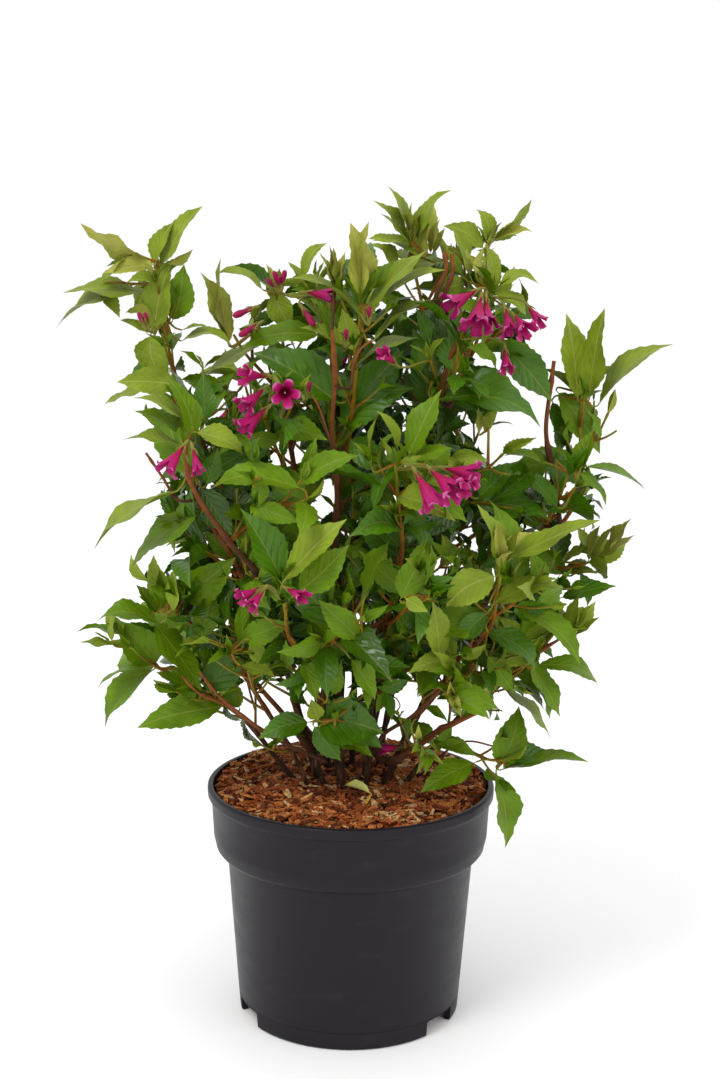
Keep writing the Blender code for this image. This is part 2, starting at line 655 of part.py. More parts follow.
def place_leaves(crown, shoots):
    """Outline leaves come first, then the tip pairs of all shoots, and so on down the shoots."""
    used = place_outline_leaves(crown)
    count = len(used)
    deepest = max(len(shoot.nodes) for shoot in shoots)
    for number in range(deepest):
        for shoot in shoots:
            if number < len(shoot.nodes):
                for side in (0, 1):
                    if shoot.label != "leader" or (shoot.mass, number, side) not in used:
                        count += place_leaf(crown, shoot, shoot.nodes[number], side)
    return count


# Solids


def material_of(kind):
    if kind in bpy.data.materials:
        return bpy.data.materials[kind]
    red, green, blue, roughness = COLOURS[kind]
    material = bpy.data.materials.new(kind)
    material.use_nodes = True
    shader = material.node_tree.nodes["Principled BSDF"]
    shader.inputs["Base Color"].default_value = (red, green, blue, 1)
    shader.inputs["Roughness"].default_value = roughness
    return material


def make_object(name, shape, kind):
    corners, faces = shape
    mesh = bpy.data.meshes.new(name)
    mesh.from_pydata([tuple(corner) for corner in corners], [], faces)
    work = bmesh.new()
    work.from_mesh(mesh)
    bmesh.ops.recalc_face_normals(work, faces=work.faces)
    work.to_mesh(mesh)
    work.free()
    mesh.materials.append(material_of(kind))
    obj = bpy.data.objects.new(name, mesh)
    bpy.context.scene.collection.objects.link(obj)
    return obj


def largest_piece_only(mesh):
    """Drops the scraps that a union leaves loose."""
    work = bmesh.new()
    work.from_mesh(mesh)
    unseen = set(work.verts)
    pieces = []
    while unseen:
        piece, edge = set(), [unseen.pop()]
        while edge:
            vertex = edge.pop()
            piece.add(vertex)
            for link in vertex.link_edges:
                other = link.other_vert(vertex)
                if other in unseen:
                    unseen.discard(other)
                    edge.append(other)
        pieces.append(piece)
    pieces.sort(key=len)
    for piece in pieces[:-1]:
        bmesh.ops.delete(work, geom=list(piece), context="VERTS")
    work.to_mesh(mesh)
    work.free()
    return len(pieces) - 1


def fuse_mass(name, shapes):
    """Joins a mass's twigs, leaves and flowers with one union on a collection."""
    body = make_object(name, shapes[0], "shoots")
    others = bpy.data.collections.new(name + "_fused")
    bpy.context.scene.collection.children.link(others)
    for number, shape in enumerate(shapes[1:]):
        piece = make_object(f"{name}_{number}", shape, "shoots")
        bpy.context.scene.collection.objects.unlink(piece)
        others.objects.link(piece)
    union = body.modifiers.new("fused", "BOOLEAN")
    union.operation = "UNION"
    union.operand_type = "COLLECTION"
    union.collection = others
    union.solver = "EXACT"
    graph = bpy.context.evaluated_depsgraph_get()
    fused = bpy.data.meshes.new_from_object(body.evaluated_get(graph))
    body.modifiers.clear()
    body.data = fused
    for piece in list(others.objects):
        bpy.data.objects.remove(piece)
    bpy.data.collections.remove(others)
    return largest_piece_only(fused)


def turned(name, profile, sides, kind):
    """A closed ring of (radius, height) points turned about Z. Points on the axis become poles."""
    work = bmesh.new()
    rings = []
    for radius, height in profile:
        if radius < 1e-6:
            rings.append([work.verts.new((0, 0, height))])
            continue
        ring = []
        for side in range(sides):
            angle = math.tau * (side + 0.5) / sides
            ring.append(work.verts.new((radius * math.cos(angle), radius * math.sin(angle), height)))
        rings.append(ring)
    for low, high in zip(rings, rings[1:] + rings[:1]):
        if len(low) == 1 and len(high) == 1:
            continue
        for side in range(sides):
            after = (side + 1) % sides
            corners = [low[side % len(low)], low[after % len(low)]]
            corners += [high[after % len(high)], high[side % len(high)]]
            work.faces.new(list(dict.fromkeys(corners)))
    bmesh.ops.recalc_face_normals(work, faces=work.faces)
    mesh = bpy.data.meshes.new(name)
    work.to_mesh(mesh)
    work.free()
    mesh.materials.append(material_of(kind))
    mesh.shade_smooth()
    mesh.set_sharp_from_angle(angle=math.radians(35))
    obj = bpy.data.objects.new(name, mesh)
    bpy.context.scene.collection.objects.link(obj)
    return obj


def pot_outside():
    """Radii and heights of the pot's outer wall, from the foot up to the lip's top."""
    top = POT_HEIGHT
    rounding = (COLLAR_LOW_RADIUS + BODY_TOP_RADIUS) / 2 + 0.002
    return [
        (BASE_RADIUS, 0.0),
        (BODY_TOP_RADIUS, top - BODY_TOP_DEPTH),
        (BODY_TOP_RADIUS + 0.0012, top - BODY_TOP_DEPTH + 0.0012),
        (rounding, top - COLLAR_DEPTH - 0.0115),
        (COLLAR_LOW_RADIUS - 0.0006, top - COLLAR_DEPTH - 0.0035),
        (COLLAR_LOW_RADIUS, top - COLLAR_DEPTH + 0.004),
        (COLLAR_TOP_RADIUS, top - LIP_HEIGHT),
        (RIM_RADIUS - 0.0004, top - LIP_HEIGHT + 0.002),
        (RIM_RADIUS, top - 0.003),
        (RIM_RADIUS - 0.0016, top),
    ]


def pot_inside():
    """Radii and heights of the pot's inner wall and floor, from the rim down to the middle."""
    top = POT_HEIGHT
    return [
        (RIM_RADIUS - LIP_WIDTH, top),
        (COLLAR_TOP_RADIUS - WALL, top - LIP_HEIGHT),
        (COLLAR_LOW_RADIUS - WALL, top - COLLAR_DEPTH + 0.002),
        (BODY_TOP_RADIUS + 0.0035, top - COLLAR_DEPTH - 0.0105),
        (BODY_TOP_RADIUS - WALL, top - BODY_TOP_DEPTH),
        (BASE_RADIUS - WALL + 0.0008, FLOOR_LIFT + WALL),
        (PAD_RADIUS + 0.003, FLOOR_LIFT + WALL),
        (PAD_RADIUS - 0.001, WALL),
        (0.0, WALL),
    ]


def pot():
    """A thin-walled pot on a flat pad and a foot ring that is notched for drainage."""
    under = [
        (0.0, 0.0),
        (PAD_RADIUS, 0.0),
        (PAD_RADIUS + 0.004, FLOOR_LIFT),
        (FOOT_INNER_RADIUS - 0.001, FLOOR_LIFT),
        (FOOT_INNER_RADIUS, 0.0),
    ]
    body = turned("pot", under + pot_outside() + pot_inside(), POT_SIDES, "pot")
    for number, angle in enumerate(NOTCH_ANGLES):
        bpy.ops.mesh.primitive_cube_add(size=1)
        cutter = bpy.context.object
        cutter.name = f"notch_cutter_{number}"
        turn = math.radians(angle)
        cutter.dimensions = (NOTCH_DEPTH, NOTCH_WIDTH, 2 * NOTCH_HEIGHT)
        cutter.location = (NOTCH_RADIUS * math.cos(turn), NOTCH_RADIUS * math.sin(turn), 0)
        cutter.rotation_euler = (0, 0, turn)
        cutter.hide_render = True
        cutter.display_type = "WIRE"
        cut = body.modifiers.new(f"notch_{number}", "BOOLEAN")
        cut.operation = "DIFFERENCE"
        cut.object = cutter
    return body


def mix():
    """The potting mix fills the pot to just under its lip."""
    inset = GAP + 0.0001
    wall = [(radius - inset * 1.5, height) for radius, height in reversed(pot_inside()[2:-3])]
    floor = [(0.0, WALL + inset), (PAD_RADIUS - 0.0025, WALL + inset)]
    floor.append((PAD_RADIUS + 0.0025, FLOOR_LIFT + WALL + inset))
    wall[0] = (wall[0][0], FLOOR_LIFT + WALL + inset)
    edge_radius = COLLAR_TOP_RADIUS - WALL - inset * 1.5 - 0.0003
    top = [
        (edge_radius, MIX_EDGE_HEIGHT),
        (edge_radius - 0.012, MIX_EDGE_HEIGHT + 0.004),
        (MIX_FLAT_RADIUS + 0.018, MIX_TOP - 0.001),
        (MIX_FLAT_RADIUS, MIX_TOP),
        (0.0, MIX_TOP),
    ]
    return turned("potting_mix", floor + wall + top, POT_SIDES, "mix")


def clear_scene():
    for obj in list(bpy.data.objects):
        bpy.data.objects.remove(obj)


def main():
    clear_scene()
    pot()
    mix()
    crown = Crown()
    place_limbs(crown)
    shoots = place_shoots(crown)
    place_flowers(crown, shoots)
    leaves = place_leaves(crown, shoots)
    scraps = 0
    for mass, shapes in crown.parts.items():
        scraps += fuse_mass(mass, shapes)
    wanted = 2 * sum(len(shoot.nodes) for shoot in shoots)
    print(f"{len(shoots)} shoots, {leaves} of {wanted} leaves, {scraps} scraps dropped")


main()
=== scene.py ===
"""Potted weigela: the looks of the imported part.

Metres, in the part's own frame: +Z up, -Y towards the viewer, and the origin in the middle of the
pot's underside. The limbs and shoots are the solids' own, grown by the source's rule with the same
draws. The leaves that the photograph shows plainly are placed first. Leaves by the source's rule
follow where they hide none of those and no sky, so they aren't the solids' leaves one for one. The
shoots are then carried on to finer twigs and young tips.
"""

import math
import random

import bpy
import numpy as np
from mathutils import Matrix, Vector, noise
from mathutils.bvhtree import BVHTree


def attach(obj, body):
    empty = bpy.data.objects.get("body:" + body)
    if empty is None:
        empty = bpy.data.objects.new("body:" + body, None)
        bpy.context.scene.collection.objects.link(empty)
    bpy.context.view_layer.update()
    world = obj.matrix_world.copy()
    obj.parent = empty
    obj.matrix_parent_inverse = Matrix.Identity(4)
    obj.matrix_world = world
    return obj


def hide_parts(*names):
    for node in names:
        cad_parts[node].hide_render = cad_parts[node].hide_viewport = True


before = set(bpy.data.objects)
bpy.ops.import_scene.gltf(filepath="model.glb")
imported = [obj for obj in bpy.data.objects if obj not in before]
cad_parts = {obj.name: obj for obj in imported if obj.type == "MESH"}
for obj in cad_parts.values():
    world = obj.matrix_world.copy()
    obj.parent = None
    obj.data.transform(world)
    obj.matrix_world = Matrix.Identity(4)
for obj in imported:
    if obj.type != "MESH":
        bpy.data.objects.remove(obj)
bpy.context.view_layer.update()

UP = Vector((0, 0, 1))
GAP = 0.0003
SEED = 8

# Pot: outer radii and heights, from the ground to the rim
POT_HEIGHT = 0.185
RIM_RADIUS = 0.113
LIP_HEIGHT = 0.010
LIP_WIDTH = 0.0045
COLLAR_TOP_RADIUS = 0.1098
COLLAR_LOW_RADIUS = 0.1084
COLLAR_DEPTH = 0.040
BODY_TOP_RADIUS = 0.0974
BODY_TOP_DEPTH = 0.058
BASE_RADIUS = 0.0876
WALL = 0.002
FLOOR_LIFT = 0.009
PAD_RADIUS = 0.056
FOOT_INNER_RADIUS = 0.0832
POT_SIDES = 128
NOTCH_ANGLES = (-155, -35, 85)
NOTCH_WIDTH = 0.034
NOTCH_HEIGHT = 0.0125
NOTCH_DEPTH = 0.016
NOTCH_RADIUS = 0.0882

# Mix: it is heaped a little towards the stems, and flat where they stand
MIX_TOP = 0.181
MIX_FLAT_RADIUS = 0.052

# Limbs: foot (x, y) on the mix, tip, how far the middle stands above the chord, and foot radius
LIMBS = {
    "limb_centre": ((-0.008, -0.006), (-0.016, -0.020, 0.492), 0.02, 0.0062),
    "limb_peak": ((0.01, -0.004), (0.053, 0.000, 0.525), 0.05, 0.0056),
    "limb_top_right": ((0.008, 0.012), (0.085, 0.017, 0.522), 0.08, 0.0050),
    "limb_inner_left": ((-0.009, 0.011), (-0.053, 0.004, 0.478), 0.07, 0.0050),
    "limb_upper_left": ((-0.025, -0.003), (-0.124, -0.020, 0.478), 0.10, 0.0052),
    "limb_left": ((-0.018, -0.02), (-0.102, -0.108, 0.412), 0.08, 0.0046),
    "limb_far_left": ((-0.038, -0.008), (-0.124, -0.020, 0.268), 0.10, 0.0036),
    "limb_low_left": ((-0.031, -0.022), (-0.083, -0.056, 0.292), 0.06, 0.0036),
    "limb_right": ((0.027, 0.003), (0.157, 0.000, 0.388), 0.12, 0.0056),
    "limb_yellow": ((0.023, -0.018), (0.092, -0.080, 0.318), 0.08, 0.0044),
    "limb_low_right": ((0.039, -0.01), (0.122, -0.030, 0.284), 0.06, 0.0044),
    "limb_front": ((-0.005, -0.029), (-0.038, -0.104, 0.316), 0.12, 0.0042),
    "limb_front_right": ((0.0105, -0.026), (0.033, -0.100, 0.372), 0.10, 0.0042),
    "limb_back_left": ((-0.017, 0.024), (-0.070, 0.088, 0.380), 0.10, 0.0048),
    "limb_back": ((0, 0.029), (-0.002, 0.098, 0.430), 0.10, 0.0050),
    "limb_back_right": ((0.02, 0.024), (0.078, 0.088, 0.380), 0.10, 0.0048),
}
LIMB_TIP_RADIUS = 0.0022
LIMB_FLARE = 1.3
LIMB_CROOK = 0.003
LIMB_TAPER = 0.8
LIMB_SIDES = 5
LIMB_RINGS = 6

# Masses: the limb that carries it, where on the limb (1 is its tip), the leader's tip, how many
# side shoots, the turn of the topmost leaf pair about the leader in degrees, and the leaf length
MASSES = {
    "shoots_top_left": ("limb_upper_left", 1.0, (-0.147, -0.030, 0.590), 1, 0, 0.060),
    "shoots_left_shoulder": ("limb_upper_left", 0.84, (-0.128, -0.074, 0.496), 2, 30, 0.060),
    "shoots_left_arm": ("limb_left", 1.0, (-0.116, -0.130, 0.468), 1, 10, 0.066),
    "shoots_left_low_arm": ("limb_left", 0.74, (-0.126, -0.084, 0.408), 2, 10, 0.066),
    "shoots_inner_left": ("limb_inner_left", 1.0, (-0.091, -0.008, 0.536), 1, 60, 0.056),
    "shoots_upper_left": ("limb_inner_left", 0.88, (-0.060, 0.015, 0.566), 2, 0, 0.056),
    "shoots_left_centre": ("limb_inner_left", 0.72, (-0.067, -0.096, 0.500), 3, 20, 0.068),
    "shoots_centre_top": ("limb_centre", 1.0, (-0.017, -0.020, 0.578), 2, 60, 0.054),
    "shoots_centre_front": ("limb_centre", 0.8, (0.004, -0.084, 0.564), 3, 80, 0.070),
    "shoots_peak": ("limb_peak", 1.0, (0.040, 0.000, 0.606), 3, 0, 0.052),
    "shoots_top_right": ("limb_top_right", 1.0, (0.100, 0.020, 0.604), 3, 0, 0.050),
    "shoots_upper_right": ("limb_top_right", 0.86, (0.099, -0.045, 0.572), 2, 10, 0.054),
    "shoots_centre_right": ("limb_peak", 0.8, (0.076, -0.092, 0.530), 3, 0, 0.070),
    "shoots_right_centre": ("limb_top_right", 0.62, (0.108, -0.078, 0.458), 3, 30, 0.064),
    "shoots_right": ("limb_right", 1.0, (0.172, 0.000, 0.494), 2, 0, 0.058),
    "shoots_right_middle": ("limb_right", 0.86, (0.158, -0.050, 0.440), 2, 20, 0.056),
    "shoots_right_low": ("limb_right", 0.68, (0.176, 0.004, 0.374), 2, 50, 0.050),
    "shoots_flowering_front": ("limb_front_right", 1.0, (0.029, -0.140, 0.458), 2, 70, 0.066),
    "shoots_middle_front": ("limb_front_right", 0.72, (0.046, -0.150, 0.384), 3, 20, 0.062),
    "shoots_bright_front": ("limb_yellow", 1.0, (0.103, -0.130, 0.386), 2, 0, 0.070),
    "shoots_low_right": ("limb_low_right", 1.0, (0.158, -0.034, 0.322), 3, 20, 0.050),
    "shoots_low_right_front": ("limb_low_right", 0.8, (0.128, -0.078, 0.302), 3, 0, 0.062),
    "shoots_low_front_right": ("limb_yellow", 0.66, (0.072, -0.118, 0.308), 2, 0, 0.058),
    "sprig_right": ("limb_low_right", 0.36, (0.116, -0.058, 0.222), 0, 0, 0.062),
    "sprig_foot_front": ("limb_front", 0.34, (-0.012, -0.075, 0.258), 1, 0, 0.058),
    "sprig_foot_right": ("limb_yellow", 0.24, (0.061, -0.065, 0.236), 0, 0, 0.056),
    "shoots_far_left": ("limb_far_left", 1.0, (-0.166, -0.034, 0.300), 2, 30, 0.060),
    "shoots_low_left": ("limb_far_left", 0.7, (-0.112, -0.058, 0.272), 1, 90, 0.066),
    "shoots_left_middle": ("limb_low_left", 1.0, (-0.132, -0.090, 0.350), 3, 60, 0.064),
    "shoots_low_front_left": ("limb_front", 1.0, (-0.046, -0.162, 0.378), 2, 0, 0.070),
    "shoots_low_front": ("limb_front", 0.80, (-0.005, -0.150, 0.362), 2, 45, 0.064),
    "shoots_inner_front": ("limb_left", 0.88, (-0.035, -0.140, 0.446), 3, 20, 0.068),
    "shoots_lower_left_front": ("limb_left", 0.5, (-0.086, -0.112, 0.318), 2, 80, 0.062),
    "shoots_back_top_left": ("limb_back_left", 1.0, (-0.086, 0.100, 0.496), 3, 25, 0.064),
    "shoots_back_left": ("limb_back_left", 0.76, (-0.138, 0.060, 0.402), 3, 65, 0.062),
    "shoots_back_top": ("limb_back", 1.0, (-0.004, 0.092, 0.546), 3, 50, 0.062),
    "shoots_back": ("limb_back", 0.82, (-0.030, 0.150, 0.444), 3, 5, 0.066),
    "shoots_back_top_right": ("limb_back_right", 1.0, (0.080, 0.098, 0.502), 3, 35, 0.062),
    "shoots_back_right": ("limb_back_right", 0.78, (0.136, 0.086, 0.402), 3, 75, 0.062),
    "shoots_low_back_left": ("limb_back_left", 0.46, (-0.128, 0.088, 0.312), 3, 55, 0.062),
    "shoots_low_back_right": ("limb_back_right", 0.46, (0.134, 0.088, 0.306), 3, 45, 0.062),
    "shoots_low_back": ("limb_back", 0.42, (0.022, 0.146, 0.330), 3, 85, 0.064),
}

# Shoots: 3-sided twigs with a leaf pair at each node, the next pair turned a quarter
LEADER_RADIUS = 0.0019
SIDE_RADIUS = 0.0014
TWIG_TIP_RADIUS = 0.0008
TWIG_SIDES = 3
TIP_NODE = 0.005
INTERNODES = (0.020, 0.027, 0.031, 0.033)
BARE_FOOT = 0.016
SIDE_BARE_FOOT = 0.0112
LEADER_STEPS = 4
LEADER_OFFSET = (0.8, 0.6)
LEADER_LIFT = 0.55

# Seats: a leader's foot slides in from here until it stands a gap clear of its limb
SEAT_START = 0.006
SEAT_ROUNDS = 12
SEAT_STEPS = 8

SIDE_SHOOT_ANGLE = 38
SIDE_SHOOT_LENGTH = 0.018
SIDE_SHOOT_SHARE = 0.52
SIDE_SHOOT_LIFTS = (0.22, 0.6)

# Leaves, at each node from the tip: share of the mass's leaf length, angle off the shoot, and how
# far the leaf hangs
PAIR_LENGTHS = (0.82, 1.0, 1.0, 0.95)
PAIR_ANGLES = (42, 56, 64, 70)
PAIR_SPREAD = 9
PAIR_SAG = (0.05, 0.22, 0.36, 0.45)
LEAF_WIDTH = 0.50
LEAF_WIDEST = 0.44
LEAF_KEEL = 0.10
LEAF_KEEL_DEPTH = 0.024
LEAF_DROOP = 0.17
LEAF_CLEARANCE = 0.0012
LEAF_CLEAR_FROM = 0.14
LEAF_TRIES = 6
LEAF_SLACK = (5, 7)
LEAF_SIZES = (0.88, 1.10)
LEAF_TRY_SHRINK = 0.06
LEAF_OVER_MIX = 0.012
LEAF_OVER_RIM = 0.003
LOWEST_LEAF = 0.14
SIDE_LEAF_SHARE = 0.86

# Flower sprays at the back, by their number in the source: where the stalks part, the way that they
# point, open flowers and buds
BACK_SPRAYS = {
    13: ((-0.098, 0.122, 0.480), (-0.6, 0.5, -0.5), 2, 1),
    14: ((0.000, 0.120, 0.530), (0.1, 0.8, -0.5), 3, 0),
    15: ((0.096, 0.122, 0.490), (0.5, 0.6, -0.5), 2, 1),
    16: ((-0.034, 0.172, 0.430), (-0.1, 0.7, -0.7), 2, 0),
}
FLOWER_LENGTH = 0.033
FLOWER_MOUTH = 0.0115
FLOWER_LOBES = 5
BUD_LENGTH = 0.020
BUD_RADIUS = 0.0026
STALK_RADIUS = 0.0010
STALK_REACH = 0.030
SPRAY_SPREAD = 34

# Camera: its place, the downward pitch and the roll in radians, and the lens on a 36 mm frame height
CAMERA_PLACE = (0.0053, -1.29, 0.6184)
CAMERA_PITCH = 0.1833
CAMERA_ROLL = 0.0101
CAMERA_LENS = 56.8

CROWN_ROOM = 12000
CAMERA_VIEW = (
    Matrix.Translation(CAMERA_PLACE)
    @ Matrix.Rotation(math.pi / 2 - CAMERA_PITCH, 4, "X")
    @ Matrix.Rotation(CAMERA_ROLL, 4, "Z")
)
CAMERA_INVERSE = CAMERA_VIEW.inverted()
PHOTO_WIDTH, PHOTO_HEIGHT = 720, 1079

# Gaps where the photograph shows the sky through or beside the crown: x, y and radius in its pixels
SKY_GAPS = (
    (528, 785, 9), (480, 786, 10), (541, 778, 8),
    (275, 758, 9), (268, 770, 8),
    (380, 222, 9), (150, 452, 9), (146, 470, 12), (150, 486, 8), (158, 508, 8), (462, 412, 5), (497, 416, 7),
    (510, 420, 8), (497, 440, 7), (515, 438, 9), (530, 430, 7), (527, 447, 8), (618, 458, 7), (620, 488, 7),
    (128, 531, 8), (147, 520, 6), (115, 542, 7), (140, 535, 7), (604, 400, 8), (606, 420, 8), (604, 440, 5),
    (288, 456, 17), (248, 683, 8), (262, 684, 7), (245, 748, 10), (232, 760, 8), (262, 752, 8),
    (90, 658, 12), (106, 666, 6), (158, 697, 9), (478, 738, 9), (462, 738, 7), (478, 752, 6), (185, 552, 6),
    (395, 765, 16), (380, 777, 14), (408, 779, 9), (345, 777, 13), (402, 744, 8), (360, 795, 12),
    (622, 402, 14), (628, 425, 12), (272, 696, 7), (252, 712, 8), (292, 700, 5), (345, 690, 6),
    (350, 675, 5), (480, 735, 8), (232, 745, 8), (206, 350, 8), (150, 545, 8), (160, 420, 4),
    (235, 300, 22), (215, 330, 14), (240, 352, 10), (540, 240, 26), (548, 285, 22), (540, 330, 14),
    (530, 365, 9), (505, 440, 12), (492, 455, 8), (545, 400, 9), (440, 568, 10), (465, 575, 8),
    (330, 490, 7), (215, 620, 10), (300, 265, 16), (335, 235, 26), (215, 215, 18), (140, 240, 18),
    (100, 340, 20), (100, 420, 24), (90, 480, 20), (75, 560, 22), (650, 440, 20), (640, 500, 18),
    (640, 580, 18), (620, 690, 24), (150, 740, 24), (585, 700, 16), (470, 230, 8), (340, 560, 5),
    (285, 458, 13), (319, 503, 7), (472, 532, 11), (531, 522, 6), (478, 355, 8), (494, 362, 8),
    (400, 493, 5), (399, 560, 5), (470, 425, 8), (486, 436, 9), (532, 447, 10), (562, 493, 7),
    (253, 697, 13), (275, 705, 14), (227, 745, 22), (200, 725, 14), (407, 697, 12), (438, 718, 16),
    (483, 725, 15), (505, 700, 9), (140, 430, 20), (130, 465, 18), (120, 500, 14), (160, 552, 9),
    (617, 450, 9), (635, 432, 10), (600, 493, 7), (610, 610, 12), (600, 655, 12), (95, 520, 16),
    (122, 395, 10), (108, 370, 12), (175, 355, 8), (255, 350, 8), (505, 255, 8), (560, 330, 12),
)

# Stretches of stem that the photograph shows in front of the leaves: two ends in its pixels, and
# how far from the viewer they lie, as a place on the part's own Y axis
BARE_STRETCHES = (
    ((188, 478), (232, 545), -0.085), ((332, 372), (333, 440), -0.050), ((332, 470), (332, 535), -0.045),
    ((440, 395), (446, 335), -0.020), ((551, 400), (556, 470), -0.010), ((484, 640), (503, 570), -0.110),
    ((452, 690), (500, 645), -0.070), ((205, 655), (262, 712), -0.060), ((560, 430), (563, 500), -0.020),
    ((530, 660), (572, 631), 0.000),
)
BARE_REACH = 3.5
BARE_TESTS = (0.2, 0.4, 0.6, 0.8, 1.0)
# Where a leaf is tested against those gaps: shares of its length, and how far to each side
GAP_TESTS = ((0.3, 0.13), (0.5, 0.15), (0.7, 0.11), (0.85, 0.05), (1.0, 0.0))

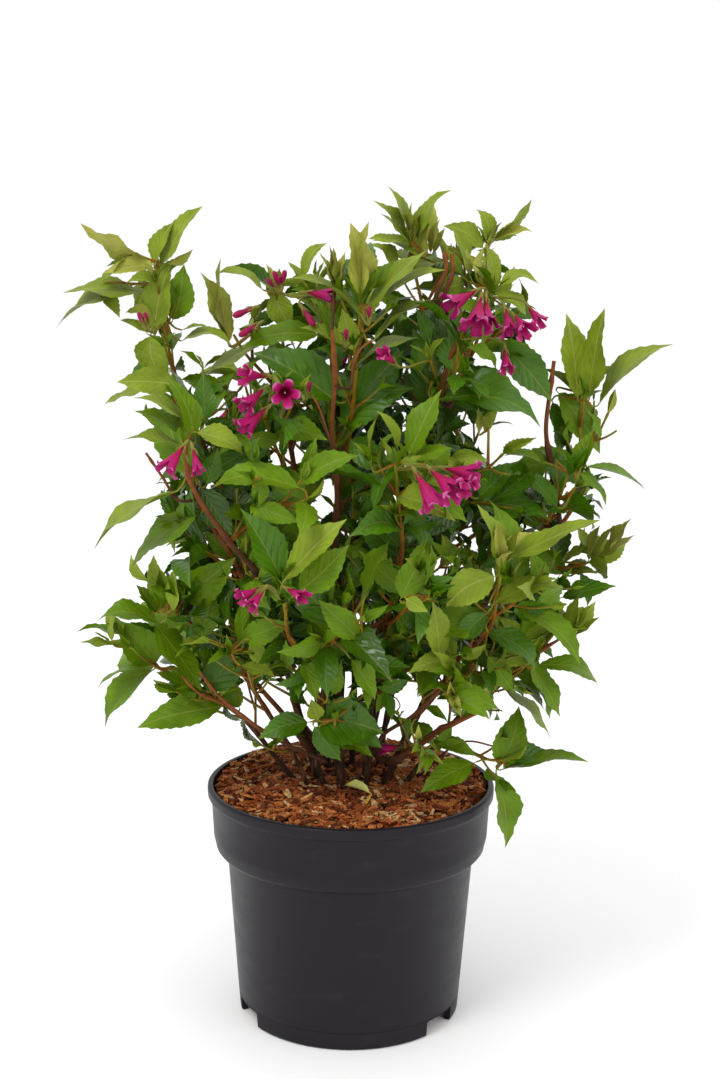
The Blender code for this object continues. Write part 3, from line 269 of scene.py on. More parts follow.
# Leaves that the photograph shows plainly, read from it: the base and the tip in its pixels, the
# width seen, how far the leaf arches to the left of the line from base to tip, and its green, from 0,
# new growth, to 4, dark green
SEEN_LEAVES = (
    # upper left
    (150, 262, 80, 223, 13, 3, 0.4), (156, 264, 104, 273, 16, 0, 0.2), (128, 256, 99, 286, 8, 0, 0.6),
    (160, 268, 203, 206, 19, 4, 1.0), (168, 264, 193, 249, 7, -2, 0.5), (147, 294, 62, 293, 14, -5, 0.6),
    (126, 287, 55, 329, 15, -6, 1.0), (100, 290, 120, 318, 13, 0, 1.1), (154, 335, 172, 263, 30, 4, 1.2),
    (172, 322, 184, 264, 30, -4, 2.0), (146, 332, 120, 320, 8, -3, 1.1),
    (151, 334, 166, 380, 32, -10, 1.3), (182, 330, 207, 326, 5, 1, 1.2), (181, 341, 232, 346, 14, 10, 1.1),
    (229, 346, 200, 272, 17, -6, 0.5), (228, 344, 221, 257, 14, 4, 0.4),
    (263, 290, 216, 274, 11, -10, 1.0), (270, 338, 200, 378, 18, -2, 1.4),
    (180, 385, 117, 382, 27, -2, 0.8), (150, 388, 104, 405, 8, -3, 1.2),
    (190, 425, 132, 398, 14, -6, 1.3), (190, 433, 134, 411, 16, 0, 1.7),
    (181, 445, 122, 440, 11, -4, 1.2), (196, 440, 166, 376, 24, -5, 2.0),
    (195, 432, 243, 455, 20, 5, 1.2), (213, 415, 243, 366, 18, 5, 2.2), (226, 425, 242, 398, 13, 0, 2.7),
    (204, 425, 203, 372, 22, 0, 3.0), (302, 489, 212, 488, 24, -12, 2.5),
    (262, 478, 258, 507, 18, 0, 1.6), (200, 486, 232, 536, 30, 0, 3.5), (206, 486, 218, 448, 20, 0, 3.2),
    (178, 490, 93, 551, 12, -9, 1.1), (202, 513, 131, 568, 22, -7, 1.7),
    (148, 582, 131, 554, 11, 3, 1.3), (206, 541, 165, 547, 7, -4, 1.4), (207, 555, 171, 557, 8, -4, 1.9),
    (185, 665, 161, 640, 16, 0, 2.0), (192, 690, 156, 672, 12, 0, 1.8),
    # middle top
    (305, 284, 288, 262, 10, 0, 0.9), (470, 262, 452, 228, 12, 0, 0.7),
    (303, 278, 327, 243, 12, 6, 1.0), (335, 288, 319, 252, 8, 0, 0.1), (334, 286, 329, 244, 7, 0, 0.2),
    (336, 286, 333, 247, 8, 0, 0.1), (338, 286, 346, 250, 6, 0, 0.4), (360, 302, 350, 222, 23, -4, 0.4),
    (362, 300, 369, 221, 16, 4, 0.5), (363, 318, 292, 278, 12, -10, 0.6),
    (366, 308, 427, 250, 17, 2, 0.6), (372, 306, 446, 270, 12, 6, 0.8), (372, 342, 438, 299, 16, 7, 0.9),
    (350, 370, 432, 341, 12, 12, 0.9), (354, 352, 342, 308, 20, 0, 0.6),
    (413, 246, 387, 185, 13, -4, 0.6), (410, 243, 373, 200, 14, -4, 0.7),
    (417, 242, 452, 190, 13, 9, 0.7), (411, 236, 412, 202, 6, 0, 0.2), (416, 238, 420, 205, 7, 0, 0.3),
    (426, 256, 429, 216, 8, 0, 0.4), (430, 254, 440, 219, 9, 0, 0.5), (433, 254, 445, 228, 7, 0, 0.5),
    (436, 263, 372, 241, 13, -8, 0.7), (400, 271, 368, 244, 13, -6, 0.9),
    (451, 262, 384, 283, 16, -8, 0.7), (370, 290, 398, 260, 16, 0, 1.6), (272, 292, 291, 330, 26, 0, 1.2),
    (322, 335, 243, 350, 22, -9, 2.2), (345, 346, 300, 328, 15, -3, 0.9),
    (342, 350, 316, 300, 16, 0, 2.5), (338, 403, 252, 353, 38, -6, 3.2),
    (323, 416, 262, 373, 16, -6, 1.1), (408, 318, 372, 300, 14, -4, 1.5),
    # upper right
    (487, 244, 476, 209, 14, -7, 0.8), (491, 243, 532, 199, 12, -2, 0.7),
    (494, 240, 533, 232, 11, 5, 0.5), (484, 249, 443, 226, 18, -5, 0.9),
    (497, 288, 539, 284, 13, 12, 0.6), (494, 292, 484, 244, 14, -4, 1.0),
    (492, 292, 526, 319, 14, 6, 1.0), (462, 276, 446, 248, 12, 0, 0.7), (470, 276, 462, 244, 11, 0, 0.5),
    (476, 274, 483, 249, 9, 0, 0.4), (498, 341, 552, 402, 33, 3, 3.0), (466, 346, 496, 369, 12, 5, 1.5),
    (578, 401, 566, 313, 31, -1, 1.4), (589, 400, 605, 308, 26, 2, 0.8), (597, 406, 674, 344, 15, 11, 1.2),
    (556, 390, 600, 454, 28, 3, 1.7), (552, 400, 561, 456, 18, 0, 2.6), (543, 462, 504, 456, 9, -5, 2.2),
    (585, 466, 646, 490, 11, 5, 1.6), (577, 470, 606, 506, 10, 5, 1.7), (580, 478, 594, 428, 16, 0, 2.3),
    (556, 460, 588, 487, 18, 0, 2.8), (433, 400, 541, 428, 33, 17, 3.0), (431, 430, 471, 424, 16, 0, 3.0),
    (478, 434, 478, 407, 8, 0, 0.4), (484, 432, 490, 410, 7, 0, 0.5), (488, 427, 514, 425, 4, 3, 1.5),
    (427, 438, 506, 485, 18, 5, 3.3),
    # centre
    (448, 462, 488, 460, 18, 3, 1.2), (408, 458, 442, 389, 27, 2, 1.9), (410, 460, 453, 448, 14, 0, 2.0),
    (330, 452, 410, 397, 16, 10, 1.5), (338, 430, 415, 388, 36, 12, 3.1),
    (352, 402, 404, 350, 36, 0, 3.2), (372, 470, 380, 412, 8, 5, 1.2), (398, 450, 377, 411, 10, -4, 1.3),
    (341, 502, 361, 457, 20, 3, 1.3), (326, 467, 305, 536, 18, -6, 1.2),
    (395, 458, 374, 510, 20, -3, 2.6), (396, 462, 438, 474, 12, 4, 1.4), (468, 503, 551, 521, 26, 8, 2.6),
    (478, 498, 518, 461, 22, 0, 3.4), (558, 508, 523, 470, 16, 0, 2.6), (502, 567, 477, 504, 16, -3, 1.0),
    (508, 560, 601, 520, 20, 3, 1.2), (505, 565, 523, 524, 9, 0, 0.9), (497, 576, 446, 607, 34, -8, 1.0),
    (492, 605, 564, 588, 22, 9, 1.4), (560, 598, 617, 586, 14, 2, 2.6), (284, 583, 240, 508, 34, 0, 2.6),
    (283, 582, 347, 519, 24, 3, 1.3), (297, 593, 349, 545, 34, -4, 2.2), (330, 560, 368, 625, 26, 0, 2.4),
    (400, 600, 425, 549, 26, 0, 2.0), (418, 602, 431, 544, 9, -3, 1.5), (405, 598, 428, 612, 15, 0, 1.1),
    (440, 660, 432, 600, 22, 0, 1.2), (382, 662, 432, 624, 10, 6, 1.5), (365, 596, 392, 538, 18, 3, 2.4),
    (350, 658, 375, 700, 20, 2, 1.8), (388, 690, 376, 713, 12, 0, 1.8), (385, 690, 392, 721, 12, 0, 2.6),
    (302, 655, 317, 703, 18, 0, 2.1), (423, 707, 448, 723, 8, 2, 2.0), (360, 640, 318, 600, 26, 0, 2.2),
    (455, 545, 500, 600, 20, 0, 2.0), (470, 640, 440, 600, 26, 0, 1.5),
    # right
    # The young leaves of the sprig at (590, 560) are given paler greens as painted light, to lift them out of
    # their shade
    (565, 575, 540, 546, 20, 0, 2.2), (592, 560, 576, 526, 12, 0, 1.1),
    (588, 561, 600, 525, 8, 0, 0.5), (592, 559, 613, 526, 7, 0, 0.4), (603, 557, 632, 518, 8, 0, 0.4),
    (605, 557, 637, 534, 5, 0, 0.4), (560, 572, 598, 574, 9, 3, 2.0), (562, 560, 590, 545, 9, 0, 1.3),
    (566, 636, 580, 594, 9, 0, 1.0), (573, 633, 592, 605, 8, 0, 0.7), (575, 636, 600, 617, 7, 0, 0.8),
    (535, 665, 600, 690, 17, 12, 2.0), (528, 660, 560, 717, 16, 2, 1.9), (536, 680, 550, 720, 9, 2, 1.9),
    (488, 632, 535, 669, 22, 8, 3.0), (503, 688, 551, 741, 8, 6, 1.4), (508, 680, 546, 713, 7, 4, 1.6),
    (487, 690, 490, 719, 8, 0, 1.7), (487, 655, 514, 693, 20, 0, 2.1), (443, 695, 490, 720, 22, 5, 1.7),
    (488, 612, 454, 642, 22, 0, 2.6), (512, 612, 550, 605, 20, 0, 2.6), (545, 590, 530, 550, 18, 0, 2.4),
    (520, 640, 560, 620, 12, 0, 1.0), (545, 641, 549, 606, 10, 0, 0.9), (531, 640, 521, 612, 12, 0, 2.4),
    # lower left
    (160, 611, 160, 568, 14, 0, 2.2), (173, 613, 176, 566, 13, 0, 1.3), (158, 613, 136, 585, 13, 0, 2.2),
    (175, 620, 197, 575, 11, -4, 2.6), (160, 623, 97, 621, 18, -10, 2.3), (168, 642, 130, 622, 20, 0, 3.2),
    (112, 642, 118, 604, 10, 4, 1.0), (158, 665, 116, 619, 34, 0, 2.1), (114, 645, 79, 642, 7, 0, 1.2),
    (111, 643, 94, 632, 3, 0, 1.4), (150, 668, 97, 689, 5, -8, 1.7), (155, 668, 105, 728, 22, -6, 1.9),
    (152, 620, 201, 691, 24, 2, 2.3), (226, 706, 137, 728, 26, -4, 1.9), (240, 709, 222, 671, 20, 0, 2.0),
    (205, 692, 246, 640, 32, 0, 2.8), (178, 602, 236, 557, 34, 0, 2.4), (243, 646, 240, 601, 16, 0, 1.5),
    (240, 640, 291, 622, 24, 0, 2.1), (250, 640, 267, 669, 16, 0, 1.0), (240, 665, 276, 678, 12, 2, 1.4),
    (196, 700, 170, 668, 18, 0, 2.3), (200, 640, 214, 590, 24, 0, 2.2), (220, 640, 236, 585, 12, 0, 2.8),
    # foot
    (310, 722, 258, 739, 24, -4, 2.6), (314, 722, 384, 733, 46, 4, 3.1), (313, 725, 341, 761, 22, 0, 2.6),
    (320, 729, 373, 757, 18, 2, 2.0), (318, 720, 311, 699, 14, 0, 1.2), (403, 723, 436, 749, 14, 6, 2.3),
    (432, 744, 479, 758, 14, 3, 1.7), (476, 762, 420, 793, 26, -3, 2.1), (438, 750, 452, 727, 14, 0, 1.6),
    (442, 746, 465, 742, 10, 0, 1.7), (496, 766, 519, 706, 31, -6, 2.2), (499, 770, 589, 762, 13, 7, 1.9),
    (496, 772, 505, 848, 24, 4, 2.1), (505, 768, 519, 751, 5, 0, 0.8), (335, 722, 354, 696, 26, 0, 2.6),
    (356, 728, 382, 748, 16, 0, 2.6),
)
SEEN_REACH = 26
SEEN_FRONT = 0.003
SEEN_DEEPER = 0.005
SEEN_LEANS = (-0.012, 0.008)
SEEN_WIDTH = 0.44
SEEN_GUARD = 0.42
SEEN_LEAST_GUARD = 9
SEEN_FLOWER_GUARD = 7
HIDING_TESTS = (0.3, 0.65, 1.0)
SEEN_ARCHES = (0.03, 0.22)
SEEN_SICKLE = 0.16
SEEN_TWIST = 0.25

# Flowers that the photograph shows: the foot and the mouth in its pixels, how far the foot lies from
# the viewer on the Y axis, how far the mouth leans towards the viewer, and how far it has opened
SEEN_FLOWERS = (
    ((300, 292), (336, 296), -0.050, 0.006, 1.0),
    ((272, 376), (241, 375), -0.104, 0.016, 1.1), ((268, 385), (241, 410), -0.108, 0.018, 1.0),
    ((285, 390), (285, 394), -0.104, 0.030, 1.10), ((272, 404), (240, 432), -0.112, 0.014, 1.0),
    ((188, 440), (164, 473), -0.146, 0.014, 1.0), ((191, 442), (199, 474), -0.146, 0.010, 0.6),
    ((267, 585), (250, 608), -0.184, 0.014, 0.9), ((265, 586), (242, 597), -0.180, 0.012, 0.9),
    ((283, 586), (302, 597), -0.180, 0.014, 0.8), ((481, 288), (446, 308), -0.074, 0.016, 1.15),
    ((482, 292), (474, 334), -0.080, 0.024, 1.3), ((486, 293), (487, 328), -0.076, 0.018, 1.1),
    ((503, 303), (512, 335), -0.066, 0.014, 1.1), ((525, 302), (541, 323), -0.060, 0.012, 1.0),
    ((511, 312), (529, 333), -0.070, 0.020, 1.1), ((504, 343), (507, 372), -0.074, 0.012, 0.9),
    ((399, 367), (384, 354), -0.116, 0.012, 0.8), ((412, 466), (440, 513), -0.166, 0.014, 1.2),
    ((426, 465), (460, 497), -0.162, 0.022, 1.2), ((438, 467), (480, 475), -0.158, 0.014, 1.1),
    ((446, 470), (470, 490), -0.158, 0.020, 1.1), ((408, 746), (379, 749), -0.030, 0.004, 0.7),
)
# Buds, given the same way without an opening
SEEN_BUDS = (
    ((299, 303), (318, 331), -0.066, 0.010), ((259, 306), (231, 317), -0.050, 0.008),
    ((263, 321), (236, 338), -0.060, 0.008),
    ((279, 293), (268, 280), -0.040, 0.002), ((280, 292), (274, 271), -0.042, 0.004),
    ((281, 292), (285, 270), -0.044, 0.002), ((280, 293), (279, 276), -0.040, 0.008),
    ((307, 399), (309, 386), -0.100, 0.004), ((345, 347), (346, 334), -0.098, 0.004),
    ((369, 325), (369, 310), -0.100, 0.004), ((146, 330), (139, 314), -0.060, 0.002),
    ((149, 331), (146, 318), -0.058, 0.002),
)
# Bare twigs and pruned ends that the photograph shows: their course in its pixels from the foot up,
# how far the foot and the tip lie from the viewer, and their radii there
SEEN_TWIGS = (
    (((312, 752), (284, 715), (262, 690), (243, 665)), -0.040, -0.060, 0.0022, 0.0016),
    (((318, 748), (298, 715), (291, 685), (283, 651)), -0.030, -0.050, 0.0024, 0.0018),
    (((316, 757), (293, 748), (262, 730), (221, 698), (200, 672)), -0.050, -0.090, 0.0014, 0.0009),
    (((322, 760), (266, 734), (228, 706), (200, 694), (182, 676)), -0.056, -0.095, 0.0013, 0.0008),
    (((262, 690), (243, 666), (276, 673), (288, 690)), -0.060, -0.056, 0.0009, 0.0007),
    (((334, 752), (328, 700), (329, 648), (331, 590)), -0.050, -0.060, 0.0046, 0.0034),
    (((331, 600), (335, 540), (337, 490), (332, 430), (335, 380), (332, 330)), -0.062, -0.119,
     0.0022, 0.0013),
    (((332, 332), (334, 300), (336, 258)), -0.119, -0.050, 0.0013, 0.0007),
    (((342, 750), (338, 700), (341, 658), (352, 640), (384, 620)), -0.054, -0.080, 0.0026, 0.0012),
    (((372, 748), (372, 700), (376, 648), (384, 610)), -0.024, -0.020, 0.0028, 0.0020),
    (((366, 752), (372, 694), (393, 675), (407, 668), (430, 640)), -0.034, -0.050, 0.0036, 0.0022),
    (((378, 750), (384, 734), (414, 715), (441, 689), (469, 672), (478, 640), (484, 605)), -0.044, -0.100,
     0.0018, 0.0009),
    (((392, 762), (410, 751), (434, 734), (456, 722), (479, 711)), -0.034, -0.056, 0.0032, 0.0020),
    (((407, 751), (457, 744), (493, 746)), 0.000, 0.010, 0.0009, 0.0007),
    (((388, 724), (393, 698), (400, 706), (391, 717)), -0.040, -0.044, 0.0006, 0.0004),
    (((560, 530), (552, 470), (546, 430), (551, 385), (554, 361)), -0.030, -0.016, 0.0020, 0.0015),
    (((178, 500), (163, 478), (146, 453)), -0.120, -0.110, 0.0011, 0.0009),
    (((442, 400), (446, 370), (458, 338)), -0.060, -0.070, 0.0018, 0.0012),
    (((450, 405), (462, 372), (472, 343)), -0.060, -0.070, 0.0018, 0.0012),
    (((436, 300), (446, 270), (444, 252)), -0.050, -0.040, 0.0017, 0.0015),
    (((441, 300), (452, 275), (452, 254)), -0.048, -0.038, 0.0017, 0.0014),
    (((353, 300), (355, 270), (356, 262)), -0.050, -0.050, 0.0010, 0.0009),
    (((254, 569), (232, 545), (203, 505), (188, 475), (186, 440)), -0.130, -0.140, 0.0022, 0.0012),
    (((350, 388), (353, 366), (360, 350), (372, 340)), -0.125, -0.120, 0.0009, 0.0007),
    (((333, 450), (320, 410), (312, 395)), -0.120, -0.120, 0.0009, 0.0006),
    (((480, 640), (478, 615), (470, 650)), -0.100, -0.100, 0.0009, 0.0008),
    (((575, 628), (552, 644), (528, 661)), -0.030, -0.060, 0.0010, 0.0012),
)
# A faded leaf that lies on the bark: its stalk's end, its base and its tip in the photograph's pixels
FALLEN_LEAF = ((366, 803), (371, 794), (342, 787))
FALLEN_LEAF_LIFT = 0.0075
FALLEN_LEAF_STEPS = (-0.003, -0.001, 0.0)
FALLEN_LEAF_SHAPE = (0.34, 0.12, 0.05, 0, 1)
FADED_GREEN = (0.520, 0.520, 0.150)
FADED_ORANGE = (0.620, 0.330, 0.040)

# Finer growth: short twigs with smaller leaves, and the unfolding leaves at each tip
FINE_ANGLE = 42
FINE_LENGTHS = (0.014, 0.036)
FINE_LIFTS = (0.2, 0.5)
FINE_RADIUS = 0.0010
STUB_SHARES = (1, 1, 0.8, 0.6)
FINE_BARE_FOOT = 0.004
FINE_INTERNODES = (0.010, 0.014, 0.016)
FINE_LEAF_SHARE = 0.66
FINE_CLEARANCE = 0.0004
YOUNG_PAIRS = ((0.42, 30), (0.24, 15))

# Detailed leaves, as shares of a leaf's length, and angles in degrees
LEAF_ROWS = (0.0, 0.05, 0.13, 0.22, 0.32, 0.42, 0.53, 0.64, 0.75, 0.87, 1.0)
YOUNG_ROWS = (0.0, 0.08, 0.22, 0.40, 0.60, 0.80, 1.0)
SMALL_LEAF = 0.024
LEAF_BOW = 2.6
LEAF_MIDDLE = 0.52
LEAF_PETIOLE = 0.05
LEAF_PETIOLE_WIDTH = 0.035
LEAF_WIDTHS = (0.32, 0.44)
LEAF_FOLDS = (8, 36)
LEAF_ARCHES = (0.04, 0.18)
LEAF_TWISTS = (-38, 38)
LEAF_TURNS = 28
LEAF_WAVES = (0.014, 0.054)
LEAF_TOOTH = 0.020
LEAF_PUFF = 0.004
LEAF_THICKNESS = 0.010

# Detailed flowers: shares of their length with radii, and skin thickness
LOBE_COLUMNS = 6
FLOWER_TUBE = ((0.0, 0.0009), (0.14, 0.0011), (0.28, 0.0014), (0.42, 0.0024), (0.56, 0.0039), (0.70, 0.0051))
FLOWER_FLARE = 0.92
PETAL_GLOSS = 0.15
TWIG_GLOSS = 0.12
FLOWER_THROAT = 0.0053
FLOWER_SKIN = 0.00025
CALYX_LENGTH = 0.006
CALYX_RADIUS = 0.0015
SEPAL_LENGTH = 0.006
ROOT_CLOSE = 0.002
STYLE_FOOT = 0.27
STYLE_TOP = 0.66
BUD_PROFILE = ((0.0, 0.0009), (0.25, 0.0011), (0.5, 0.0017), (0.75, 0.0026), (0.93, 0.0021), (1.0, 0.0005))

# Leafy twigs along the limbs, between the masses
TWIG_FROM = 0.30
TWIG_SPACING = 0.017
TWIG_TURN = 137.5
TWIG_ANGLE = 50
TWIG_LENGTHS = (0.026, 0.062)
TWIG_RADIUS = 0.0012
TWIG_SEAT = 0.6
TWIG_LIFTS = (0.25, 0.6)
TWIG_LEAVES = (0.034, 0.054)

# Detailed limbs
LIMB_SLIMNESS = 0.50
LIMB_TIP_SLIMNESS = 0.78
LIMB_STEPS = 16
BARK_SIDES = 12
BARK_RIDGE = 0.16
BARK_NODE_SPACING = 0.034
NODE_SWELLING = 0.14
TWIG_NODE_SWELLING = 0.45
TWIG_NODE_REACH = 0.03

# Detailed pot and mulch
GROOVE_DEPTH = 0.0005
BODY_LINE_HEIGHT = 0.0135
MULCH_EDGE = 0.1068
CHIPS = 4600
CHIP_PILE = 0.0040
MULCH_TOP = 0.1855
MULCH_RIM = 0.1790
MULCH_BACK_RISE = 0.0040
POT_SHARP_ANGLE = 32
BED_INSET = 0.0006
BED_RINGS = 26
BED_SIDES = 96
CHIP_SHARE = 0.72
CHIP_LENGTHS, SPLINTER_LENGTHS = (0.004, 0.010), (0.010, 0.019)
CHIP_WIDTHS = (0.12, 0.45)
CHIP_THICKNESSES = (0.0006, 0.0018)

# Colours: red, green, blue
POT_BLACK = (0.0110, 0.0085, 0.0125)
POT_DUST = (0.026, 0.023, 0.028)
BARK_OLD = (0.036, 0.017, 0.009)
BARK_YOUNG = (0.210, 0.068, 0.015)
BARK_PEEL = (0.190, 0.092, 0.045)
BARK_CRACK = (0.013, 0.006, 0.003)
SHOOT_FOOT = (0.220, 0.070, 0.009)
SHOOT_TIP = (0.210, 0.180, 0.012)
FINE_FOOT = (0.220, 0.105, 0.010)
FINE_TIP = (0.190, 0.205, 0.020)
OLD_TWIG_FOOT = (0.050, 0.021, 0.009)
OLD_TWIG_TIP = (0.200, 0.062, 0.016)
PETAL_TUBE = (0.300, 0.004, 0.050)
PETAL_LOBE = (0.370, 0.008, 0.118)
# The lobes' rim: partly their own paler edge and partly a painted highlight
PETAL_EDGE_AND_HIGHLIGHT = (0.600, 0.170, 0.400)
BUD_CRIMSON = (0.260, 0.006, 0.056)
CALYX_GREEN = (0.180, 0.170, 0.030)
STYLE_CREAM = (0.700, 0.420, 0.420)
MULCH_TINTS = {
    "dark": ((0.140, 0.030, 0.008), 4),
    "red_brown": ((0.400, 0.095, 0.022), 8),
    "orange": ((0.600, 0.200, 0.050), 6),
    "straw": ((0.780, 0.480, 0.210), 3),
}

# Leaf greens, young to old: name, upper side, vein, underside, roughness and gloss of the upper side.
# The upper sides of the two youngest are lighter than the leaves' own colour, as painted light for the
# light that shines through the young leaves
LEAF_GREENS = (
    ("new_growth_backlit", (0.315, 0.328, 0.052), (0.400, 0.385, 0.110), (0.330, 0.340, 0.120), 0.48, 0.12),
    ("light_green", (0.188, 0.256, 0.018), (0.310, 0.330, 0.065), (0.265, 0.290, 0.105), 0.44, 0.14),
    ("mid_green", (0.108, 0.200, 0.003), (0.195, 0.250, 0.030), (0.200, 0.245, 0.090), 0.40, 0.16),
    ("deep_green", (0.053, 0.139, 0.001), (0.130, 0.195, 0.020), (0.150, 0.205, 0.080), 0.33, 0.30),
    ("dark_green", (0.034, 0.086, 0.001), (0.095, 0.145, 0.015), (0.120, 0.170, 0.070), 0.27, 0.44),
)
# The green of a leaf against its height in the photograph, and of each pair down a shoot
# The young greens that the top takes carry painted light, for the light through the crown's top
TONE_HEIGHTS, TONES = (200, 300, 400, 520, 700), (0.2, 1.1, 2.0, 2.5, 2.1)
PAIR_TONES = (0.0, 0.4, 0.7, 0.9)
# Masses that are brighter or darker than their height tells
MASS_TONES = {
    "shoots_bright_front": 1.2, "shoots_low_front_right": 1.5, "shoots_centre_front": 2.4,
    "shoots_centre_right": 2.6, "shoots_left_centre": 2.4, "shoots_right_centre": 2.6,
    "shoots_inner_front": 2.0, "shoots_flowering_front": 1.8, "shoots_low_left": 1.7,
    "sprig_foot_front": 2.2, "shoots_low_front_left": 2.5, "shoots_lower_left_front": 2.6,
    "shoots_low_front": 2.4, "shoots_low_right": 1.5, "shoots_low_right_front": 1.6,
    "shoots_far_left": 1.7,
}

# Studio: the sky, the floor, and the lights as name, place, size and power
FLOOR_HEIGHT = -0.0003
FLOOR_SIZE = 60
FLOOR_WHITE = (0.97, 0.97, 0.97)
SKY_STRENGTH = 1.05
LIGHT_AIM = Vector((0, 0, 0.35))
STUDIO_LIGHTS = (
    ("key_light", (-1.2, -1.6, 2.6), 1.2, 32),
    ("fill_light", (2.0, -1.4, 1.4), 1.6, 8),
)


# Growth rule: curves, shoots and nodes, as in the source


def dice(*labels):
    """A generator that always gives the same draws for the same labels."""
    return random.Random("/".join(str(label) for label in (SEED, *labels)))


def sideways(direction):
    """Two unit vectors square to a direction and to each other, the first one near X or Z."""
    near = UP if abs(direction.x) > 0.85 else Vector((1, 0, 0))
    first = (near - direction * near.dot(direction)).normalized()
    return first, direction.cross(first).normalized()


def round_way(way, angle):
    """The unit vector square to a way, at an angle round it."""
    level, other = sideways(way)
    return level * math.cos(angle) + other * math.sin(angle)


def leaning(way, out, angle):
    """The unit vector at an angle off a way, towards a side."""
    return (way * math.cos(angle) + out * math.sin(angle)).normalized()


def even_steps(first, last, count):
    """Numbers from first to last in even steps."""
    return [first + (last - first) * step / count for step in range(count + 1)]


def cubic(start, start_way, end, end_way, steps):
    """Points of a smooth curve that leaves start along start_way and reaches end along end_way."""
    pull = (end - start).length / 3
    near, far = start + start_way * pull, end - end_way * pull
    points = []
    for step in range(steps + 1):
        t = step / steps
        u = 1 - t
        points.append(start * u**3 + near * 3 * u * u * t + far * 3 * u * t * t + end * t**3)
    return points


def twig_line(place, way, length, lift, end_lift):
    """A short twig's course, which turns up on its way."""
    end = place + (way + UP * lift).normalized() * length
    return cubic(place, way, end, (way + UP * end_lift).normalized(), 2)


def point_at(points, share):
    """The place and the direction at a share of the way along a line of points."""
    place = share * (len(points) - 1)
    index = min(int(place), len(points) - 2)
    step = points[index + 1] - points[index]
    return points[index] + step * (place - index), step.normalized()


def length_of(points):
    return sum((b - a).length for a, b in zip(points, points[1:]))


def limb_points(name):
    """A limb leaves the mix steeply and bows out towards its tip."""
    (x, y), tip, rise, _ = LIMBS[name]
    foot, tip = Vector((x, y, MIX_TOP + GAP)), Vector(tip)
    chord = tip - foot
    middle = (foot + tip) / 2 + UP * 2 * rise * chord.length
    draw = dice(name)
    points = []
    for ring in range(LIMB_RINGS):
        t = ring / (LIMB_RINGS - 1)
        crook = LIMB_CROOK if 0 < ring < LIMB_RINGS - 1 else 0
        shift = Vector((draw.uniform(-1, 1), draw.uniform(-1, 1), 0)) * crook
        points.append(foot * (1 - t) ** 2 + middle * 2 * t * (1 - t) + tip * t * t + shift)
    return points


def limb_radius(name, share):
    foot_radius = LIMBS[name][3]
    return foot_radius + (LIMB_TIP_RADIUS - foot_radius) * share**LIMB_TAPER


class Shoot:
    """A twig: its points, its radii, and the nodes where leaf pairs sit, from the tip down."""

    def __init__(self, mass, label, points, radius, turn, leaf_length, bare, internodes=INTERNODES):
        self.mass, self.label, self.points = mass, label, points
        self.radius, self.leaf_length = radius, leaf_length
        self.nodes = []
        total = length_of(points)
        distance, number = TIP_NODE, 0
        while total - distance > bare:
            place, way = point_at(points, 1 - distance / total)
            self.nodes.append((place, way, math.radians(turn + 90 * number), number))
            distance += internodes[min(number, len(internodes) - 1)]
            number += 1

    def pair(self, node):
        """The two opposite ways out of a node."""
        out = round_way(node[1], node[2])
        return out, -out


def leader_of(mass):
    """The mass's stem goes on from its limb and turns up to the leader's tip."""
    limb, share, tip, _, turn, leaf_length = MASSES[mass]
    points = limb_points(limb)
    root, way = point_at(points, min(share, 0.9999))
    tip = Vector(tip)
    chord = (tip - root).normalized()
    if share == 1.0:
        start_way = way
        root = root + way * (GAP + LEADER_RADIUS * 0.1)
    else:
        aside = (chord - way * chord.dot(way)).normalized()
        start_way = (aside + way * LEADER_OFFSET[0] + chord * LEADER_OFFSET[1]).normalized()
        root = root + aside * (limb_radius(limb, share) + SEAT_START)
    end_way = (chord + UP * LEADER_LIFT).normalized()
    points = cubic(root, start_way, tip, end_way, LEADER_STEPS)
    if share < 1.0:
        skin = BVHTree.FromPolygons(*limb_shape(limb))
        for _ in range(SEAT_ROUNDS):
            points[0] = points[0] - aside * (clearance_of_foot(points, skin) - GAP)
            points = cubic(points[0], start_way, tip, end_way, LEADER_STEPS)
    return Shoot(mass, "leader", points, LEADER_RADIUS, turn, leaf_length, BARE_FOOT)


def clearance_of_foot(points, skin):
    """How far a leader's first stretch stands off its limb's skin."""
    corners, _ = tube(points[:2], [LEADER_RADIUS] * 2, TWIG_SIDES)
    foot = corners[:TWIG_SIDES]
    edges = list(zip(foot, foot[1:] + foot[:1])) + list(zip(foot, corners[TWIG_SIDES:]))
    places = [start.lerp(end, step / SEAT_STEPS) for start, end in edges for step in range(SEAT_STEPS)]
    return min(skin.find_nearest(place)[3] for place in places)


def side_shoots_of(leader):
    """Side shoots grow from the axils of the older leaf pairs, on alternate sides."""
    wanted = MASSES[leader.mass][3]
    shoots = []
    for number in range(wanted):
        if 1 + number >= len(leader.nodes):
            break
        node = leader.nodes[1 + number]
        draw = dice(leader.mass, "side", number)
        place, way, _, _ = node
        out = leader.pair(node)[draw.randrange(2)]
        start_way = leaning(way, out, math.radians(SIDE_SHOOT_ANGLE + draw.uniform(-7, 7)))
        ahead = (leader.points[-1] - place).length
        length = (SIDE_SHOOT_LENGTH + SIDE_SHOOT_SHARE * ahead) * draw.uniform(0.85, 1.15)
        points = twig_line(place, start_way, length, *SIDE_SHOOT_LIFTS)
        turn = draw.uniform(0, 90)
        size = leader.leaf_length * SIDE_LEAF_SHARE
        shoots.append(Shoot(leader.mass, f"side{number}", points, SIDE_RADIUS, turn, size, SIDE_BARE_FOOT))
    return shoots


# Plain shapes that guard the room of what is placed: a list of points and a list of faces


def bar_faces(rings, sides):
    """The faces of a closed bar: those between its rings, and one at each end."""
    faces = []
    for ring in range(rings - 1):
        for side in range(sides):
            a, b = ring * sides + side, ring * sides + (side + 1) % sides
            faces.append((a, b, b + sides, a + sides))
    last = (rings - 1) * sides
    return faces + [tuple(reversed(range(sides))), tuple(range(last, last + sides))]


